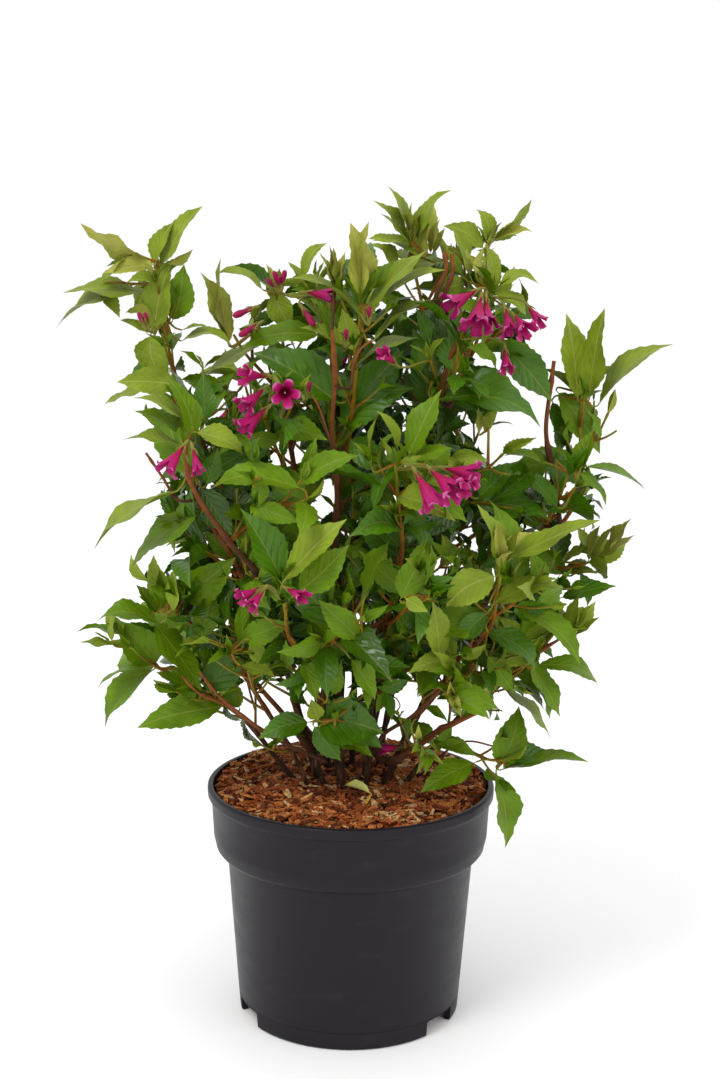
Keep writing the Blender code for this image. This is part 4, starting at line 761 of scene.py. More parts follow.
def tube(points, radii, sides):
    """A closed round bar through the points, with flat ends."""
    corners = []
    way = (points[1] - points[0]).normalized()
    across, _ = sideways(way)
    for index, (point, radius) in enumerate(zip(points, radii)):
        before, after = points[max(index - 1, 0)], points[min(index + 1, len(points) - 1)]
        way = (after - before).normalized()
        across = (across - way * across.dot(way)).normalized()
        other = way.cross(across)
        for side in range(sides):
            angle = math.tau * side / sides
            offset = across * math.cos(angle) + other * math.sin(angle)
            corners.append(point + offset * radius)
    return corners, bar_faces(len(points), sides)


def twig_radii(shoot):
    return even_steps(shoot.radius, TWIG_TIP_RADIUS, len(shoot.points) - 1)


def blade_ways(place, along, way, roll=0.0):
    """A leaf's own axes: along its midrib, out of its upper face towards the light, and across."""
    light = Vector((place.x, place.y, 0)).normalized() * 0.6 + UP * 0.45
    face = way * 0.35 + light
    face = (face - along * face.dot(along)).normalized()
    face = Matrix.Rotation(roll, 3, along) @ face
    return along, face, along.cross(face)


def leaf_shape(base, ways, length, start=0.0, grow=0.0):
    """A leaf's plain blade: two margins, a keel under its stalk and a drooping tip."""
    along, face, across = ways
    half = length * LEAF_WIDTH / 2 + grow
    widest = base + along * length * LEAF_WIDEST
    foot = base + along * length * start
    tip = base + along * (length + grow) - face * length * LEAF_DROOP
    keel = base + along * length * (LEAF_KEEL + start) - face * (length * LEAF_KEEL_DEPTH + grow)
    left, right = widest + across * half + face * grow, widest - across * half + face * grow
    corners = [foot + face * grow, left, right, keel, tip]
    faces = [(0, 2, 1), (1, 2, 4), (0, 1, 3), (0, 3, 2), (1, 4, 3), (4, 2, 3)]
    return corners, faces


def flower_shape(base, way):
    """A flower's plain funnel, with a hollow throat."""
    lobes = FLOWER_LOBES
    corners, faces = [], [tuple(reversed(range(lobes)))]
    length = FLOWER_LENGTH
    rings = [(STALK_RADIUS, 0.0), (FLOWER_MOUTH, length * 0.96), (FLOWER_MOUTH * 0.55, length)]
    for ring, (radius, along) in enumerate(rings):
        for index in range(lobes):
            angle = math.tau * (index + (0.5 if ring == 2 else 0)) / lobes
            corners.append(base + way * along + round_way(way, angle) * radius)
    heart = len(corners)
    corners.append(base + way * length * 0.78)
    for index in range(lobes):
        after = (index + 1) % lobes
        lobe, gap, lobe_after = lobes + index, 2 * lobes + index, lobes + after
        faces.append((index, gap, lobe))
        faces.append((index, after, gap))
        faces.append((after, lobe_after, gap))
        faces.append((heart, lobe, gap))
        faces.append((heart, gap, lobe_after))
    return corners, faces


def bud_shape(base, way):
    points = [base, base + way * BUD_LENGTH * 0.68, base + way * BUD_LENGTH]
    return tube(points, [STALK_RADIUS, BUD_RADIUS, BUD_RADIUS * 0.35], 3)


def limb_shape(name):
    """The limb of the solids: a tapering bar with a flared foot that is cut flat on the mix."""
    points = limb_points(name)
    shares = [ring / (LIMB_RINGS - 1) for ring in range(LIMB_RINGS)]
    radii = [limb_radius(name, share) for share in shares]
    radii[0] *= LIMB_FLARE
    corners, faces = tube(points, radii, LIMB_SIDES)
    for corner in corners[:LIMB_SIDES]:
        corner.z = points[0].z
    return corners, faces


# The crown: every shape is placed only where it clears what is there


def bubble(corners):
    """The middle and the radius of a ball round a shape, for a quick first test."""
    middle = sum(corners, Vector()) / len(corners)
    return middle, max((corner - middle).length for corner in corners)


class Crown:
    """Keeps what has been placed, tells whether a new shape is clear of it, and lists what to draw."""

    def __init__(self):
        self.placed = []
        self.middles = np.zeros((CROWN_ROOM, 3))
        self.reaches = np.zeros(CROWN_ROOM)
        self.leaders = {}
        self.leaves, self.stalks, self.flowers, self.buds = [], [], [], []
        self.stubs, self.guards = [], []

    def is_clear(self, shape, ignore=(), ignore_mass=None):
        """True if a shape meets nothing but what is ignored, which is given by mass and label."""
        corners, faces = shape
        middle, reach = bubble(corners)
        count = len(self.placed)
        apart = np.linalg.norm(self.middles[:count] - np.array(middle), axis=1)
        tree = None
        for index in np.nonzero(apart <= self.reaches[:count] + reach)[0]:
            other, mass, label = self.placed[index]
            if mass == ignore_mass or (mass, label) in ignore:
                continue
            tree = tree or BVHTree.FromPolygons(corners, faces)
            if tree.overlap(other):
                return False
        return True

    def keep(self, shape, mass, label):
        corners, faces = shape
        middle, reach = bubble(corners)
        self.middles[len(self.placed)] = middle
        self.reaches[len(self.placed)] = reach
        self.placed.append((BVHTree.FromPolygons(corners, faces), mass, label))

    def keep_shoot(self, shoot):
        self.keep(tube(shoot.points, twig_radii(shoot), TWIG_SIDES), shoot.mass, shoot.label)

    def in_own_space(self, mass, place):
        """True where a place is nearer to its own mass's leader than to any other."""
        own = min((place - point).length for point in self.leaders[mass].points)
        for other, leader in self.leaders.items():
            if other != mass and min((place - point).length for point in leader.points) < own:
                return False
        return True


def place_shoots(crown):
    """Leaders first, then the side shoots that clear them. Gives all shoots."""
    for name in LIMBS:
        crown.keep(limb_shape(name), name, "limb")
    shoots = []
    for mass in MASSES:
        leader = leader_of(mass)
        crown.leaders[mass] = leader
        crown.keep_shoot(leader)
        shoots.append(leader)
    for mass, leader in crown.leaders.items():
        for shoot in side_shoots_of(leader):
            guard = tube(shoot.points, [radius + LEAF_CLEARANCE for radius in twig_radii(shoot)], 4)
            end_is_own = crown.in_own_space(mass, shoot.points[-1])
            if end_is_own and crown.is_clear(guard, ignore={(mass, "leader")}):
                crown.keep_shoot(shoot)
                shoots.append(shoot)
    return shoots


def nearest_shoot(shoots, place):
    """The shoot that a spray hangs from, and the point on it."""
    best = None
    for shoot in shoots:
        for share in range(4, 20):
            point, _ = point_at(shoot.points, share / 20)
            distance = (point - place).length
            if best is None or distance < best[0]:
                best = (distance, shoot, point)
    return best[1], best[2]


def place_seen_flowers(crown, shoots):
    """Puts each flower and bud where the photograph shows it, on a stalk from the nearest shoot."""
    blossom = [(*row, True) for row in SEEN_FLOWERS] + [(*row, 0.4, False) for row in SEEN_BUDS]
    for foot, mouth, depth, lean, opening, is_open in blossom:
        foot, mouth = seen_place(foot, depth), seen_place(mouth, depth - lean)
        way = (mouth - foot).normalized()
        size = min(max((mouth - foot).length / (FLOWER_LENGTH if is_open else BUD_LENGTH), 0.7), 1.05)
        add_flower(crown, shoots, foot, way, size, opening, is_open)


def add_flower(crown, shoots, foot, way, size, opening, is_open):
    shoot, root = nearest_shoot(shoots, foot)
    if (foot - root).length > STALK_REACH:
        out = (foot - root).normalized()
        start = foot - out * STALK_REACH
        crown.stubs.append(cubic(root, out, start, out, 3))
        root = start
    line = cubic(root, (foot - root).normalized(), foot, ((foot - root).normalized() + way).normalized(), 3)
    crown.keep(tube(line, [STALK_RADIUS] * 4, 3), shoot.mass, "stalk")
    crown.stalks.append(line)
    shape = flower_shape(foot, way) if is_open else bud_shape(foot, way)
    crown.keep(shape, shoot.mass, "flower")
    (crown.flowers if is_open else crown.buds).append((foot, way, size, opening))


def place_back_flowers(crown, shoots):
    """Hangs the source's sprays on the far side, which the photograph doesn't show."""
    for number, (place, aim, open_flowers, buds) in BACK_SPRAYS.items():
        place, aim = Vector(place), Vector(aim).normalized()
        draw = dice(f"spray{number}")
        start = draw.uniform(0, math.tau)
        count = open_flowers + buds
        lean = math.radians(SPRAY_SPREAD if count > 1 else 0)
        for index in range(count):
            way = leaning(aim, round_way(aim, start + math.tau * index / count), lean)
            add_flower(crown, shoots, place, way, 1.0, 0.9, index < open_flowers)


def leaf_fits(crown, shoot, number, place, ways, length, clearance):
    """Keeps a leaf if it is clear of everything but the foot of its own stalk."""
    if hides_seen(crown, place, place + ways[0] * length):
        return False
    guard = leaf_shape(place, ways, length, start=LEAF_CLEAR_FROM, grow=clearance)
    whole_guard = leaf_shape(place, ways, length, grow=clearance)
    if hangs_too_low(guard[0]) or not crown.is_clear(guard):
        return False
    if not crown.is_clear(whole_guard, ignore_mass=shoot.mass):
        return False
    crown.keep(leaf_shape(place, ways, length), shoot.mass, "leaf")
    tip = place + (ways[0] - ways[1] * LEAF_DROOP) * length
    crown.leaves.append((shoot, number, place, tip, ways[1], None))
    return True


def place_leaf(crown, shoot, node, side, clearance):
    """Tries a few turns of one leaf, and keeps the first that is clear and in its own space."""
    finer = clearance < LEAF_CLEARANCE
    place, way, _, number = node
    out = shoot.pair(node)[side]
    index = min(number, len(PAIR_LENGTHS) - 1)
    opening = dice(shoot.mass, shoot.label, number).uniform(-PAIR_SPREAD, PAIR_SPREAD)
    for attempt in range(LEAF_TRIES):
        draw = dice(shoot.mass, shoot.label, number, side, attempt)
        slack = LEAF_SLACK[0] + LEAF_SLACK[1] * attempt
        angle = math.radians(PAIR_ANGLES[index] + opening + draw.uniform(-slack, slack))
        roll = math.radians(draw.uniform(-2 * slack, 2 * slack))
        outward = Matrix.Rotation(math.radians(draw.uniform(-slack, slack)), 3, way) @ out
        length = shoot.leaf_length * PAIR_LENGTHS[index] * draw.uniform(*LEAF_SIZES)
        length *= 1 - LEAF_TRY_SHRINK * attempt
        along = way * math.cos(angle) + outward * math.sin(angle) - UP * PAIR_SAG[index]
        ways = blade_ways(place, along.normalized(), way, roll)
        if leaf_covers_sky(place, ways, length):
            continue
        if hides_stem(place, place + ways[0] * length):
            continue
        if finer or crown.in_own_space(shoot.mass, place + ways[0] * length * 0.5):
            if leaf_fits(crown, shoot, number, place, ways, length, clearance):
                return True
    return False


def hangs_too_low(corners):
    """Leaves stay above the mix and the rim, and hang lower only outside the pot."""
    nearest = min(math.hypot(corner.x, corner.y) for corner in corners)
    lowest = min(corner.z for corner in corners)
    return lowest < (MIX_TOP + LEAF_OVER_MIX if nearest < RIM_RADIUS + LEAF_OVER_RIM else LOWEST_LEAF)


def place_leaves(crown, shoots, clearance=LEAF_CLEARANCE):
    """The tip pairs of all shoots come first, and so on down the shoots."""
    deepest = max(len(shoot.nodes) for shoot in shoots)
    for number in range(deepest):
        for shoot in shoots:
            if number < len(shoot.nodes):
                for side in (0, 1):
                    place_leaf(crown, shoot, shoot.nodes[number], side, clearance)


# Finer growth, which the solids leave out


def picture_place(point):
    """Where the camera sees a point, in the photograph's pixels."""
    local = CAMERA_INVERSE @ point
    scale = CAMERA_LENS / 36 * PHOTO_HEIGHT / -local.z
    return PHOTO_WIDTH / 2 + local.x * scale, PHOTO_HEIGHT / 2 - local.y * scale


def seen_place(spot, depth):
    """The point at a depth on the Y axis that the camera sees at a spot of the photograph."""
    scale = CAMERA_LENS / 36 * PHOTO_HEIGHT
    ray = Vector(((spot[0] - PHOTO_WIDTH / 2) / scale, (PHOTO_HEIGHT / 2 - spot[1]) / scale, -1))
    view = CAMERA_INVERSE.inverted()
    way = view.to_3x3() @ ray
    return view.translation + way * ((depth - view.translation.y) / way.y)


def front_shoot(shoots, spot):
    """The shoot that the camera sees foremost near a spot of the photograph, and its point there."""
    near, nearest = None, None
    for shoot in shoots:
        for share in range(2, 21):
            point, _ = point_at(shoot.points, share / 20)
            x, y = picture_place(point)
            distance = math.hypot(x - spot[0], y - spot[1])
            if distance < SEEN_REACH and (near is None or point.y < near[1].y):
                near = (shoot, point)
            if nearest is None or distance < nearest[0]:
                nearest = (distance, shoot, point)
    return near or nearest[1:]


def place_seen_leaves(crown, shoots):
    """Puts the leaves that the photograph shows plainly, each on a short twig from a shoot near it."""
    view = CAMERA_INVERSE.inverted()
    for number, (x, y, tip_x, tip_y, width, bow, tone) in enumerate(SEEN_LEAVES):
        draw = dice("seen", number)
        shoot, root = front_shoot(shoots, (x, y))
        depth = root.y - SEEN_FRONT + SEEN_DEEPER * tone
        base = seen_place((x, y), depth)
        tip = seen_place((tip_x, tip_y), depth + draw.uniform(*SEEN_LEANS))
        reach = math.hypot(tip_x - x, tip_y - y)
        share = max(width / reach, SEEN_WIDTH)
        turn = math.acos(min(width / reach / share, 1))
        side = (tip_y - y, tip_x - x) if bow > 0 else (y - tip_y, x - tip_x)
        if bow == 0 and side[1] < 0:
            side = (-side[0], -side[1])
        side = (view.to_3x3() @ Vector((side[0], side[1], 0))).normalized()
        viewer = (view.translation - base).normalized()
        facing = viewer * math.cos(turn) + side * math.sin(turn)
        arch = min(max(abs(bow) / reach / max(math.sin(turn), 0.5), SEEN_ARCHES[0]), SEEN_ARCHES[1])
        rest = max(abs(bow) / reach - arch * math.sin(turn), 0) / max(math.cos(turn), 0.5)
        sickle = min(rest, SEEN_SICKLE) * (-1 if bow > 0 else 1)
        crown.leaves.append((shoot, number, base, tip, facing, (share, arch, sickle, tone, math.cos(turn))))
        room = max(width, SEEN_LEAST_GUARD) * SEEN_GUARD
        crown.guards.append((x, y, tip_x, tip_y, room, max(base.y, tip.y)))
        way = (tip - base).normalized()
        if (base - root).length > 0.001:
            crown.stubs.append(cubic(root, (base - root).normalized(), base, way, 3))
    for foot, mouth, depth, *_ in SEEN_FLOWERS + SEEN_BUDS:
        crown.guards.append((*foot, *mouth, SEEN_FLOWER_GUARD, depth))
    crown.guards = np.array(crown.guards)


def hides_seen(crown, base, tip):
    """True where a leaf would hang before one that the photograph shows plainly, or before a flower."""
    starts, spans = crown.guards[:, 0:2], crown.guards[:, 2:4] - crown.guards[:, 0:2]
    for share in HIDING_TESTS:
        point = base.lerp(tip, share)
        away = np.array(picture_place(point)) - starts
        along = np.clip((away * spans).sum(1) / (spans * spans).sum(1), 0, 1)
        distance = np.linalg.norm(away - spans * along[:, None], axis=1)
        if ((distance < crown.guards[:, 4]) & (point.y < crown.guards[:, 5])).any():
            return True
    return False


def covers_sky(point):
    """True where a point would stand in a gap that shows the sky."""
    x, y = picture_place(point)
    return any(math.hypot(x - gap_x, y - gap_y) < reach for gap_x, gap_y, reach in SKY_GAPS)


def leaf_covers_sky(place, ways, length):
    """True where a leaf's blade would stand in a gap that shows the sky."""
    for share, half in GAP_TESTS:
        for side in (-half, 0, half):
            if covers_sky(place + (ways[0] * share + ways[2] * side) * length):
                return True
    return False


def hides_stem(base, tip):
    """True where a leaf would hang before a stretch of stem that the photograph shows bare."""
    for share in BARE_TESTS:
        point = base.lerp(tip, share)
        spot = Vector(picture_place(point))
        for start, end, depth in BARE_STRETCHES:
            start, end = Vector(start), Vector(end)
            along = (spot - start).dot(end - start) / (end - start).length_squared
            nearest = start.lerp(end, min(max(along, 0), 1))
            if point.y < depth and (spot - nearest).length < BARE_REACH:
                return True
    return False


def limb_twigs(crown):
    """Leafy twigs spiral up each limb, from above its bare foot, and fill the crown's inside."""
    twigs = []
    for limb in LIMBS:
        points = limb_points(limb)
        total = length_of(points)
        masses = [mass for mass, values in MASSES.items() if values[0] == limb]
        draw = dice(limb, "twigs")
        turn, distance, number = draw.uniform(0, 360), TWIG_FROM * total, 0
        while distance < total - TWIG_SPACING / 2:
            share = distance / total
            root, way = point_at(points, share)
            out = round_way(way, math.radians(turn))
            start_way = leaning(way, out, math.radians(TWIG_ANGLE + draw.uniform(-12, 12)))
            root = root + out * limb_radius(limb, share) * TWIG_SEAT
            line = twig_line(root, start_way, draw.uniform(*TWIG_LENGTHS), *TWIG_LIFTS)
            twig = Shoot(draw.choice(masses), f"{limb}_{number}", line, TWIG_RADIUS,
                         draw.uniform(0, 90), draw.uniform(*TWIG_LEAVES), FINE_BARE_FOOT * 2, FINE_INTERNODES)
            if crown.is_clear(tube(line[1:], [TWIG_RADIUS] * 2, 3)) and not covers_sky(line[-1]):
                crown.keep_shoot(twig)
                twigs.append(twig)
            turn += TWIG_TURN
            distance += TWIG_SPACING * draw.uniform(0.8, 1.2)
            number += 1
    return twigs


def finer_shoots(crown, shoots):
    """Short twigs from the axils of the older pairs, where there is room."""
    finer = []
    for shoot in shoots:
        for node in shoot.nodes[1:]:
            place, way, _, number = node
            for side, out in enumerate(shoot.pair(node)):
                draw = dice(shoot.mass, shoot.label, "fine", number, side)
                start_way = leaning(way, out, math.radians(FINE_ANGLE + draw.uniform(-14, 14)))
                points = twig_line(place, start_way, draw.uniform(*FINE_LENGTHS), *FINE_LIFTS)
                size = shoot.leaf_length * FINE_LEAF_SHARE * draw.uniform(0.8, 1.15)
                turn = draw.uniform(0, 90)
                twig = Shoot(shoot.mass, f"{shoot.label}_{number}{side}", points, FINE_RADIUS,
                             turn, size, FINE_BARE_FOOT, FINE_INTERNODES)
                guard = tube(points[1:], [FINE_RADIUS * 2] * 2, 3)
                if twig.nodes and crown.is_clear(guard) and not covers_sky(points[-1]):
                    crown.keep_shoot(twig)
                    finer.append(twig)
    return finer


def place_young_tips(crown, shoots):
    """Each shoot ends in a few small erect leaves that are still unfolding."""
    for shoot in shoots:
        tip, way = shoot.points[-1], (shoot.points[-1] - shoot.points[-2]).normalized()
        draw = dice(shoot.mass, shoot.label, "young")
        turn = draw.uniform(0, math.pi)
        for pair, (share, lean) in enumerate(YOUNG_PAIRS):
            for side in (0, 1):
                out = round_way(way, turn + math.pi / 2 * pair + math.pi * side)
                tilt = math.radians(lean + draw.uniform(-8, 8))
                along = leaning(way, out, tilt)
                face = (way * math.sin(tilt) - out * math.cos(tilt)).normalized()
                length = shoot.leaf_length * share * draw.uniform(0.8, 1.2)
                place = tip - way * (0.0005 + 0.0025 * (len(YOUNG_PAIRS) - 1 - pair))
                ways = (along, face, along.cross(face))
                tip_of_leaf = place + along * length
                if covers_sky(tip_of_leaf):
                    continue
                if crown.is_clear(leaf_shape(place, ways, length, start=0.3)):
                    crown.leaves.append((shoot, -1 - pair, place, tip_of_leaf, face, None))


# Pieces: many small shapes are gathered in a heap, which becomes one mesh


class Heap:
    """Corners, faces, a UV for each corner and a material slot for each face."""

    def __init__(self):
        self.corners, self.faces, self.uvs, self.slots = [], [], [], []

    def add(self, corners, faces, uvs, slots=None):
        start = len(self.corners)
        self.corners.extend(corners)
        self.uvs.extend(uvs)
        self.faces.extend(tuple(start + corner for corner in face) for face in faces)
        self.slots.extend(slots or [0] * len(faces))

    def piece(self, name, materials, slot, nodes, sharp=40):
        """Makes the heap one smooth-shaded mesh that stands for some nodes of the solids."""
        mesh = bpy.data.meshes.new(name)
        mesh.from_pydata([tuple(corner) for corner in self.corners], [], self.faces)
        mesh.shade_smooth()
        mesh.set_sharp_from_angle(angle=math.radians(sharp))
        layer = mesh.uv_layers.new(name="UVMap")
        loops = np.zeros(len(mesh.loops), dtype=np.int32)
        mesh.loops.foreach_get("vertex_index", loops)
        layer.data.foreach_set("uv", np.array(self.uvs, dtype=np.float32)[loops].ravel())
        mesh.polygons.foreach_set("material_index", np.array(self.slots, dtype=np.int32))
        obj = bpy.data.objects.new(name, mesh)
        bpy.context.scene.collection.objects.link(obj)
        finished(obj, materials, nodes)


def foliage(heap, name, *materials, sharp=40):
    """Makes a heap one of the pieces that stand for all the masses."""
    heap.piece(name, materials, "foliage", list(MASSES), sharp)


def finished(obj, materials, nodes):
    """Gives a piece its materials and its body, and hides the nodes that it stands for."""
    obj.data.materials.clear()
    for material in materials:
        obj.data.materials.append(material)
    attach(obj, "root")
    if nodes:
        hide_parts(*nodes)


def smooth_line(points, steps):
    """A rounder line through the same points, with some steps between each two."""
    line = []
    for index in range(len(points) - 1):
        before = points[max(index - 1, 0)]
        start, end = points[index], points[index + 1]
        after = points[min(index + 2, len(points) - 1)]
        for step in range(steps):
            t = step / steps
            line.append(0.5 * (
                2 * start
                + (end - before) * t
                + (2 * before - 5 * start + 4 * end - after) * t * t
                + (3 * start - before - 3 * end + after) * t**3
            ))
    line.append(points[-1])
    return line


def draw_twig(heap, points, radii, sides=6, steps=3, swellings=()):
    """A round twig with its age along V, from 0 at its foot to 1 at its tip."""
    line = smooth_line(points, steps)
    shares = [index / (len(line) - 1) for index in range(len(line))]
    widths = []
    for share in shares:
        place = share * (len(radii) - 1)
        index = min(int(place), len(radii) - 2)
        radius = radii[index] + (radii[index + 1] - radii[index]) * (place - index)
        near = min((abs(share - swelling) for swelling in swellings), default=1)
        widths.append(radius * (1 + TWIG_NODE_SWELLING * math.exp(-(near / TWIG_NODE_REACH) ** 2)))
    corners, faces = tube(line, widths, sides)
    uvs = [(side / sides, share) for share in shares for side in range(sides)]
    heap.add(corners, faces, uvs)


# Leaves


def blade_half_width(x):
    """Half the width of a leaf at a share of its length, as a share of its greatest half."""
    t = max((x - LEAF_PETIOLE) / (1 - LEAF_PETIOLE), 0)
    blade = t**0.95 * (1 - t) ** 1.4 / 0.2045
    return max(blade, LEAF_PETIOLE_WIDTH * (1 - x))


def leaf_pattern(rows, toothed):
    """Where a leaf's corners lie: share of its length, side across it and column, and its faces."""
    spots, faces, slots = [], [], []
    for x in rows[:-1]:
        spots += [(x, 1, 2), (x, 1, 1), (x, 0, 0), (x, -1, 1), (x, -1, 2), (x, 0, 3)]
    tip = len(spots)
    spots.append((1.0, 0, 0))
    last = len(rows) - 2
    for row in range(last):
        left, left_mid, rib, right_mid, right, keel = range(row * 6, row * 6 + 6)
        teeth = [[], []]
        if toothed and row > 0:
            x = rows[row] + (rows[row + 1] - rows[row]) * 0.62
            teeth = [[len(spots)], [len(spots) + 1]]
            spots += [(x, 1, 4), (x, -1, 4)]
        faces += [
            (rib, left_mid, left_mid + 6, rib + 6),
            (right_mid, rib, rib + 6, right_mid + 6),
            (left_mid, left, *teeth[0], left + 6, left_mid + 6),
            (right, right_mid, right_mid + 6, right + 6, *teeth[1]),
            (keel, keel + 6, left + 6, *teeth[0], left),
            (keel, right, *teeth[1], right + 6, keel + 6),
        ]
        slots += [0, 0, 0, 0, 1, 1]
    left, left_mid, rib, right_mid, right, keel = range(last * 6, last * 6 + 6)
    faces += [
        (rib, left_mid, tip), (left_mid, left, tip), (right_mid, rib, tip), (right, right_mid, tip),
        (keel, tip, left), (keel, right, tip), (5, 0, 1, 2, 3, 4),
    ]
    slots += [0, 0, 0, 0, 1, 1, 1]
    return np.array(spots), faces, slots


def draw_leaf(heap, pattern, base, tip, facing, draw, young=0.0, seen=None):
    """A leaf from its base to its tip, bowed up between them on the side that it faces.

    It folds along its midrib like a gutter, twists, and waves at its margins.
    """
    spots, faces, slots = pattern
    base, chord = np.array(base), np.array(tip - base)
    x, side, column = spots[:, 0], spots[:, 1], spots[:, 2]
    reach = np.linalg.norm(chord)
    along = chord / reach
    across = np.cross(along, np.array(facing))
    across /= np.linalg.norm(across)
    face = np.cross(across, along)
    roll = math.radians(draw.gauss(0, LEAF_TURNS)) * (0.15 if seen else 1 - young)
    face, across = (face * math.cos(roll) + across * math.sin(roll),
                    across * math.cos(roll) - face * math.sin(roll))
    arch = seen[1] if seen else draw.uniform(*LEAF_ARCHES) * (1 - 0.6 * young)
    slope = LEAF_BOW * arch * (1 - 3 * x**2)
    normal = face[None, :] - np.outer(slope, along)
    normal /= np.linalg.norm(normal, axis=1)[:, None]
    twist = math.radians(draw.uniform(*LEAF_TWISTS)) * x * (SEEN_TWIST if seen else 1)
    sideward = np.cos(twist)[:, None] * across[None, :] + np.sin(twist)[:, None] * normal
    facing = np.cos(twist)[:, None] * normal - np.sin(twist)[:, None] * across[None, :]
    half = reach * (seen[0] if seen else draw.uniform(*LEAF_WIDTHS)) / 2 * (1 - 0.30 * young)
    width = half * np.array([blade_half_width(value) for value in x])
    width = width + np.where(column == 4, reach * LEAF_TOOTH, 0)
    out = np.select([column == 1, column == 3], [LEAF_MIDDLE, 0.0], 1.0) * width * side
    fold = math.radians(draw.uniform(*LEAF_FOLDS) + 16 * young)
    fold = math.tan(fold * (0.2 + 0.8 * seen[4]) if seen else fold)
    wave = reach * draw.uniform(*LEAF_WAVES) * np.sin(math.pi * x)
    wave *= np.sin(math.tau * draw.uniform(1.2, 2.2) * x + draw.uniform(0, math.tau) + side)
    lift = np.abs(out) * fold
    lift += np.where(column == 1, reach * LEAF_PUFF * np.sin(math.pi * x), 0)
    lift += np.where((column == 2) | (column == 4), wave, 0)
    lift = np.where(column == 3, -reach * LEAF_THICKNESS * (1.2 - x), lift)
    sickle = seen[2] if seen else draw.uniform(-0.05, 0.05)
    rib = base + np.outer(x * reach, along) + np.outer(LEAF_BOW * arch * reach * (x - x**3), face)
    rib += np.outer(reach * sickle * np.sin(math.pi * x), across)
    corners = rib + sideward * out[:, None] + facing * lift[:, None]
    uvs = np.stack([x, 0.5 + 0.5 * out / half], axis=1)
    heap.add(corners.tolist(), faces, uvs.tolist(), slots)


# Flowers


def draw_flower(heap, base, way, size, opening, draw):
    """A funnel with a slim tube and five round, ruffled lobes, hollow to its throat."""
    turn = draw.uniform(0, math.tau)
    length = FLOWER_LENGTH * size
    throat = FLOWER_THROAT * (0.55 + 0.45 * opening)
    mouth = FLOWER_MOUTH * FLOWER_FLARE * (0.3 + 0.7 * opening)
    columns = FLOWER_LOBES * LOBE_COLUMNS
    corners, uvs = [], []
    curls = [draw.uniform(-1, 1) for _ in range(FLOWER_LOBES)]
    ruffles = [draw.uniform(-1, 1) for _ in range(columns)]
    outer = [(along, radius, 0.0) for along, radius in FLOWER_TUBE]
    inner = [(along, radius, -FLOWER_SKIN) for along, radius in reversed(FLOWER_TUBE[2:])]
    lobes = [("lobe", 0.45, 0.0), ("lobe", 0.80, 0.0), ("lobe", 1.0, 0.0), ("lobe", 0.80, -FLOWER_SKIN),
             ("lobe", 0.45, -FLOWER_SKIN)]
    rings = outer + lobes + inner
    for along, radius, skin in rings:
        for column in range(columns):
            off = (column % LOBE_COLUMNS) / LOBE_COLUMNS * 2 - 1
            angle = turn + math.tau * column / columns
            if along == "lobe":
                spread = radius * (1 - abs(off) ** 2.6)
                curl = curls[column // LOBE_COLUMNS % FLOWER_LOBES]
                place = 0.70 + (0.24 + 0.06 * curl) * math.sin(spread * 2.1) + 0.06 * ruffles[column] * spread
                distance = throat + (mouth - throat) * (spread + 0.12 * curl * spread * spread)
                share = 0.80 + 0.20 * spread
            else:
                place, distance = along, radius * (0.6 + 0.4 * opening if along > 0.3 else 1)
                share = along
            offset = round_way(way, angle)
            corners.append(base + way * (place * length - skin * 0.6) + offset * (distance * size + skin))
            uvs.append((abs(off), share))
    heap.add(corners, bar_faces(len(rings), columns), uvs)


def draw_calyx(heap, base, way, turn):
    """A slim green cup with five pointed sepals that hug the flower's tube."""
    draw_twig(heap, [base, base + way * CALYX_LENGTH / 2, base + way * CALYX_LENGTH],
              [STALK_RADIUS, CALYX_RADIUS, CALYX_RADIUS * 0.8], steps=1)
    for index in range(FLOWER_LOBES):
        out = round_way(way, turn + math.tau * index / FLOWER_LOBES)
        foot = base + way * CALYX_LENGTH * 0.8 + out * CALYX_RADIUS * 0.8
        tip = foot + way * SEPAL_LENGTH + out * SEPAL_LENGTH * 0.32
        draw_twig(heap, [foot, (foot + tip) / 2 + out * 0.0002, tip], [0.0006, 0.0005, 0.0001],
                  sides=3, steps=1)


# Limbs


def draw_limb(name):
    """A limb with ridged bark, swollen nodes and a flared foot."""
    points = limb_points(name)
    line = smooth_line(points, LIMB_STEPS)
    draw = dice(name, "bark")
    rings = len(line)
    radii, node_share = [], draw.uniform(0.05, 0.12)
    spacing = BARK_NODE_SPACING / length_of(points)
    for ring in range(rings):
        share = ring / (rings - 1)
        radius = limb_radius(name, share) * (LIMB_SLIMNESS + (LIMB_TIP_SLIMNESS - LIMB_SLIMNESS) * share)
        radius *= 1 + (LIMB_FLARE - 1) * math.exp(-((share / 0.03) ** 2))
        nearest = abs((share - node_share) / spacing - round((share - node_share) / spacing)) * spacing
        radius *= 1 + NODE_SWELLING * math.exp(-((nearest * 5 / spacing) ** 2))
        radii.append(radius)
    corners, faces = tube(line, radii, BARK_SIDES)
    shift = Vector([draw.uniform(0, 9) for _ in range(3)])
    uvs = []
    for index, corner in enumerate(corners):
        ring = index // BARK_SIDES
        share = ring / (rings - 1)
        out = corner - line[ring]
        spot = Vector((corner.x * 420, corner.y * 420, corner.z * 60)) + shift
        ridge = noise.noise(spot) * BARK_RIDGE * (1 - 0.7 * share)
        corners[index] = line[ring] + out * (1 + ridge)
        uvs.append((index % BARK_SIDES / BARK_SIDES, share))
    for corner in corners[:BARK_SIDES]:
        corner.z = points[0].z
    heap = Heap()
    heap.add(corners, faces, uvs)
    return heap


# Materials


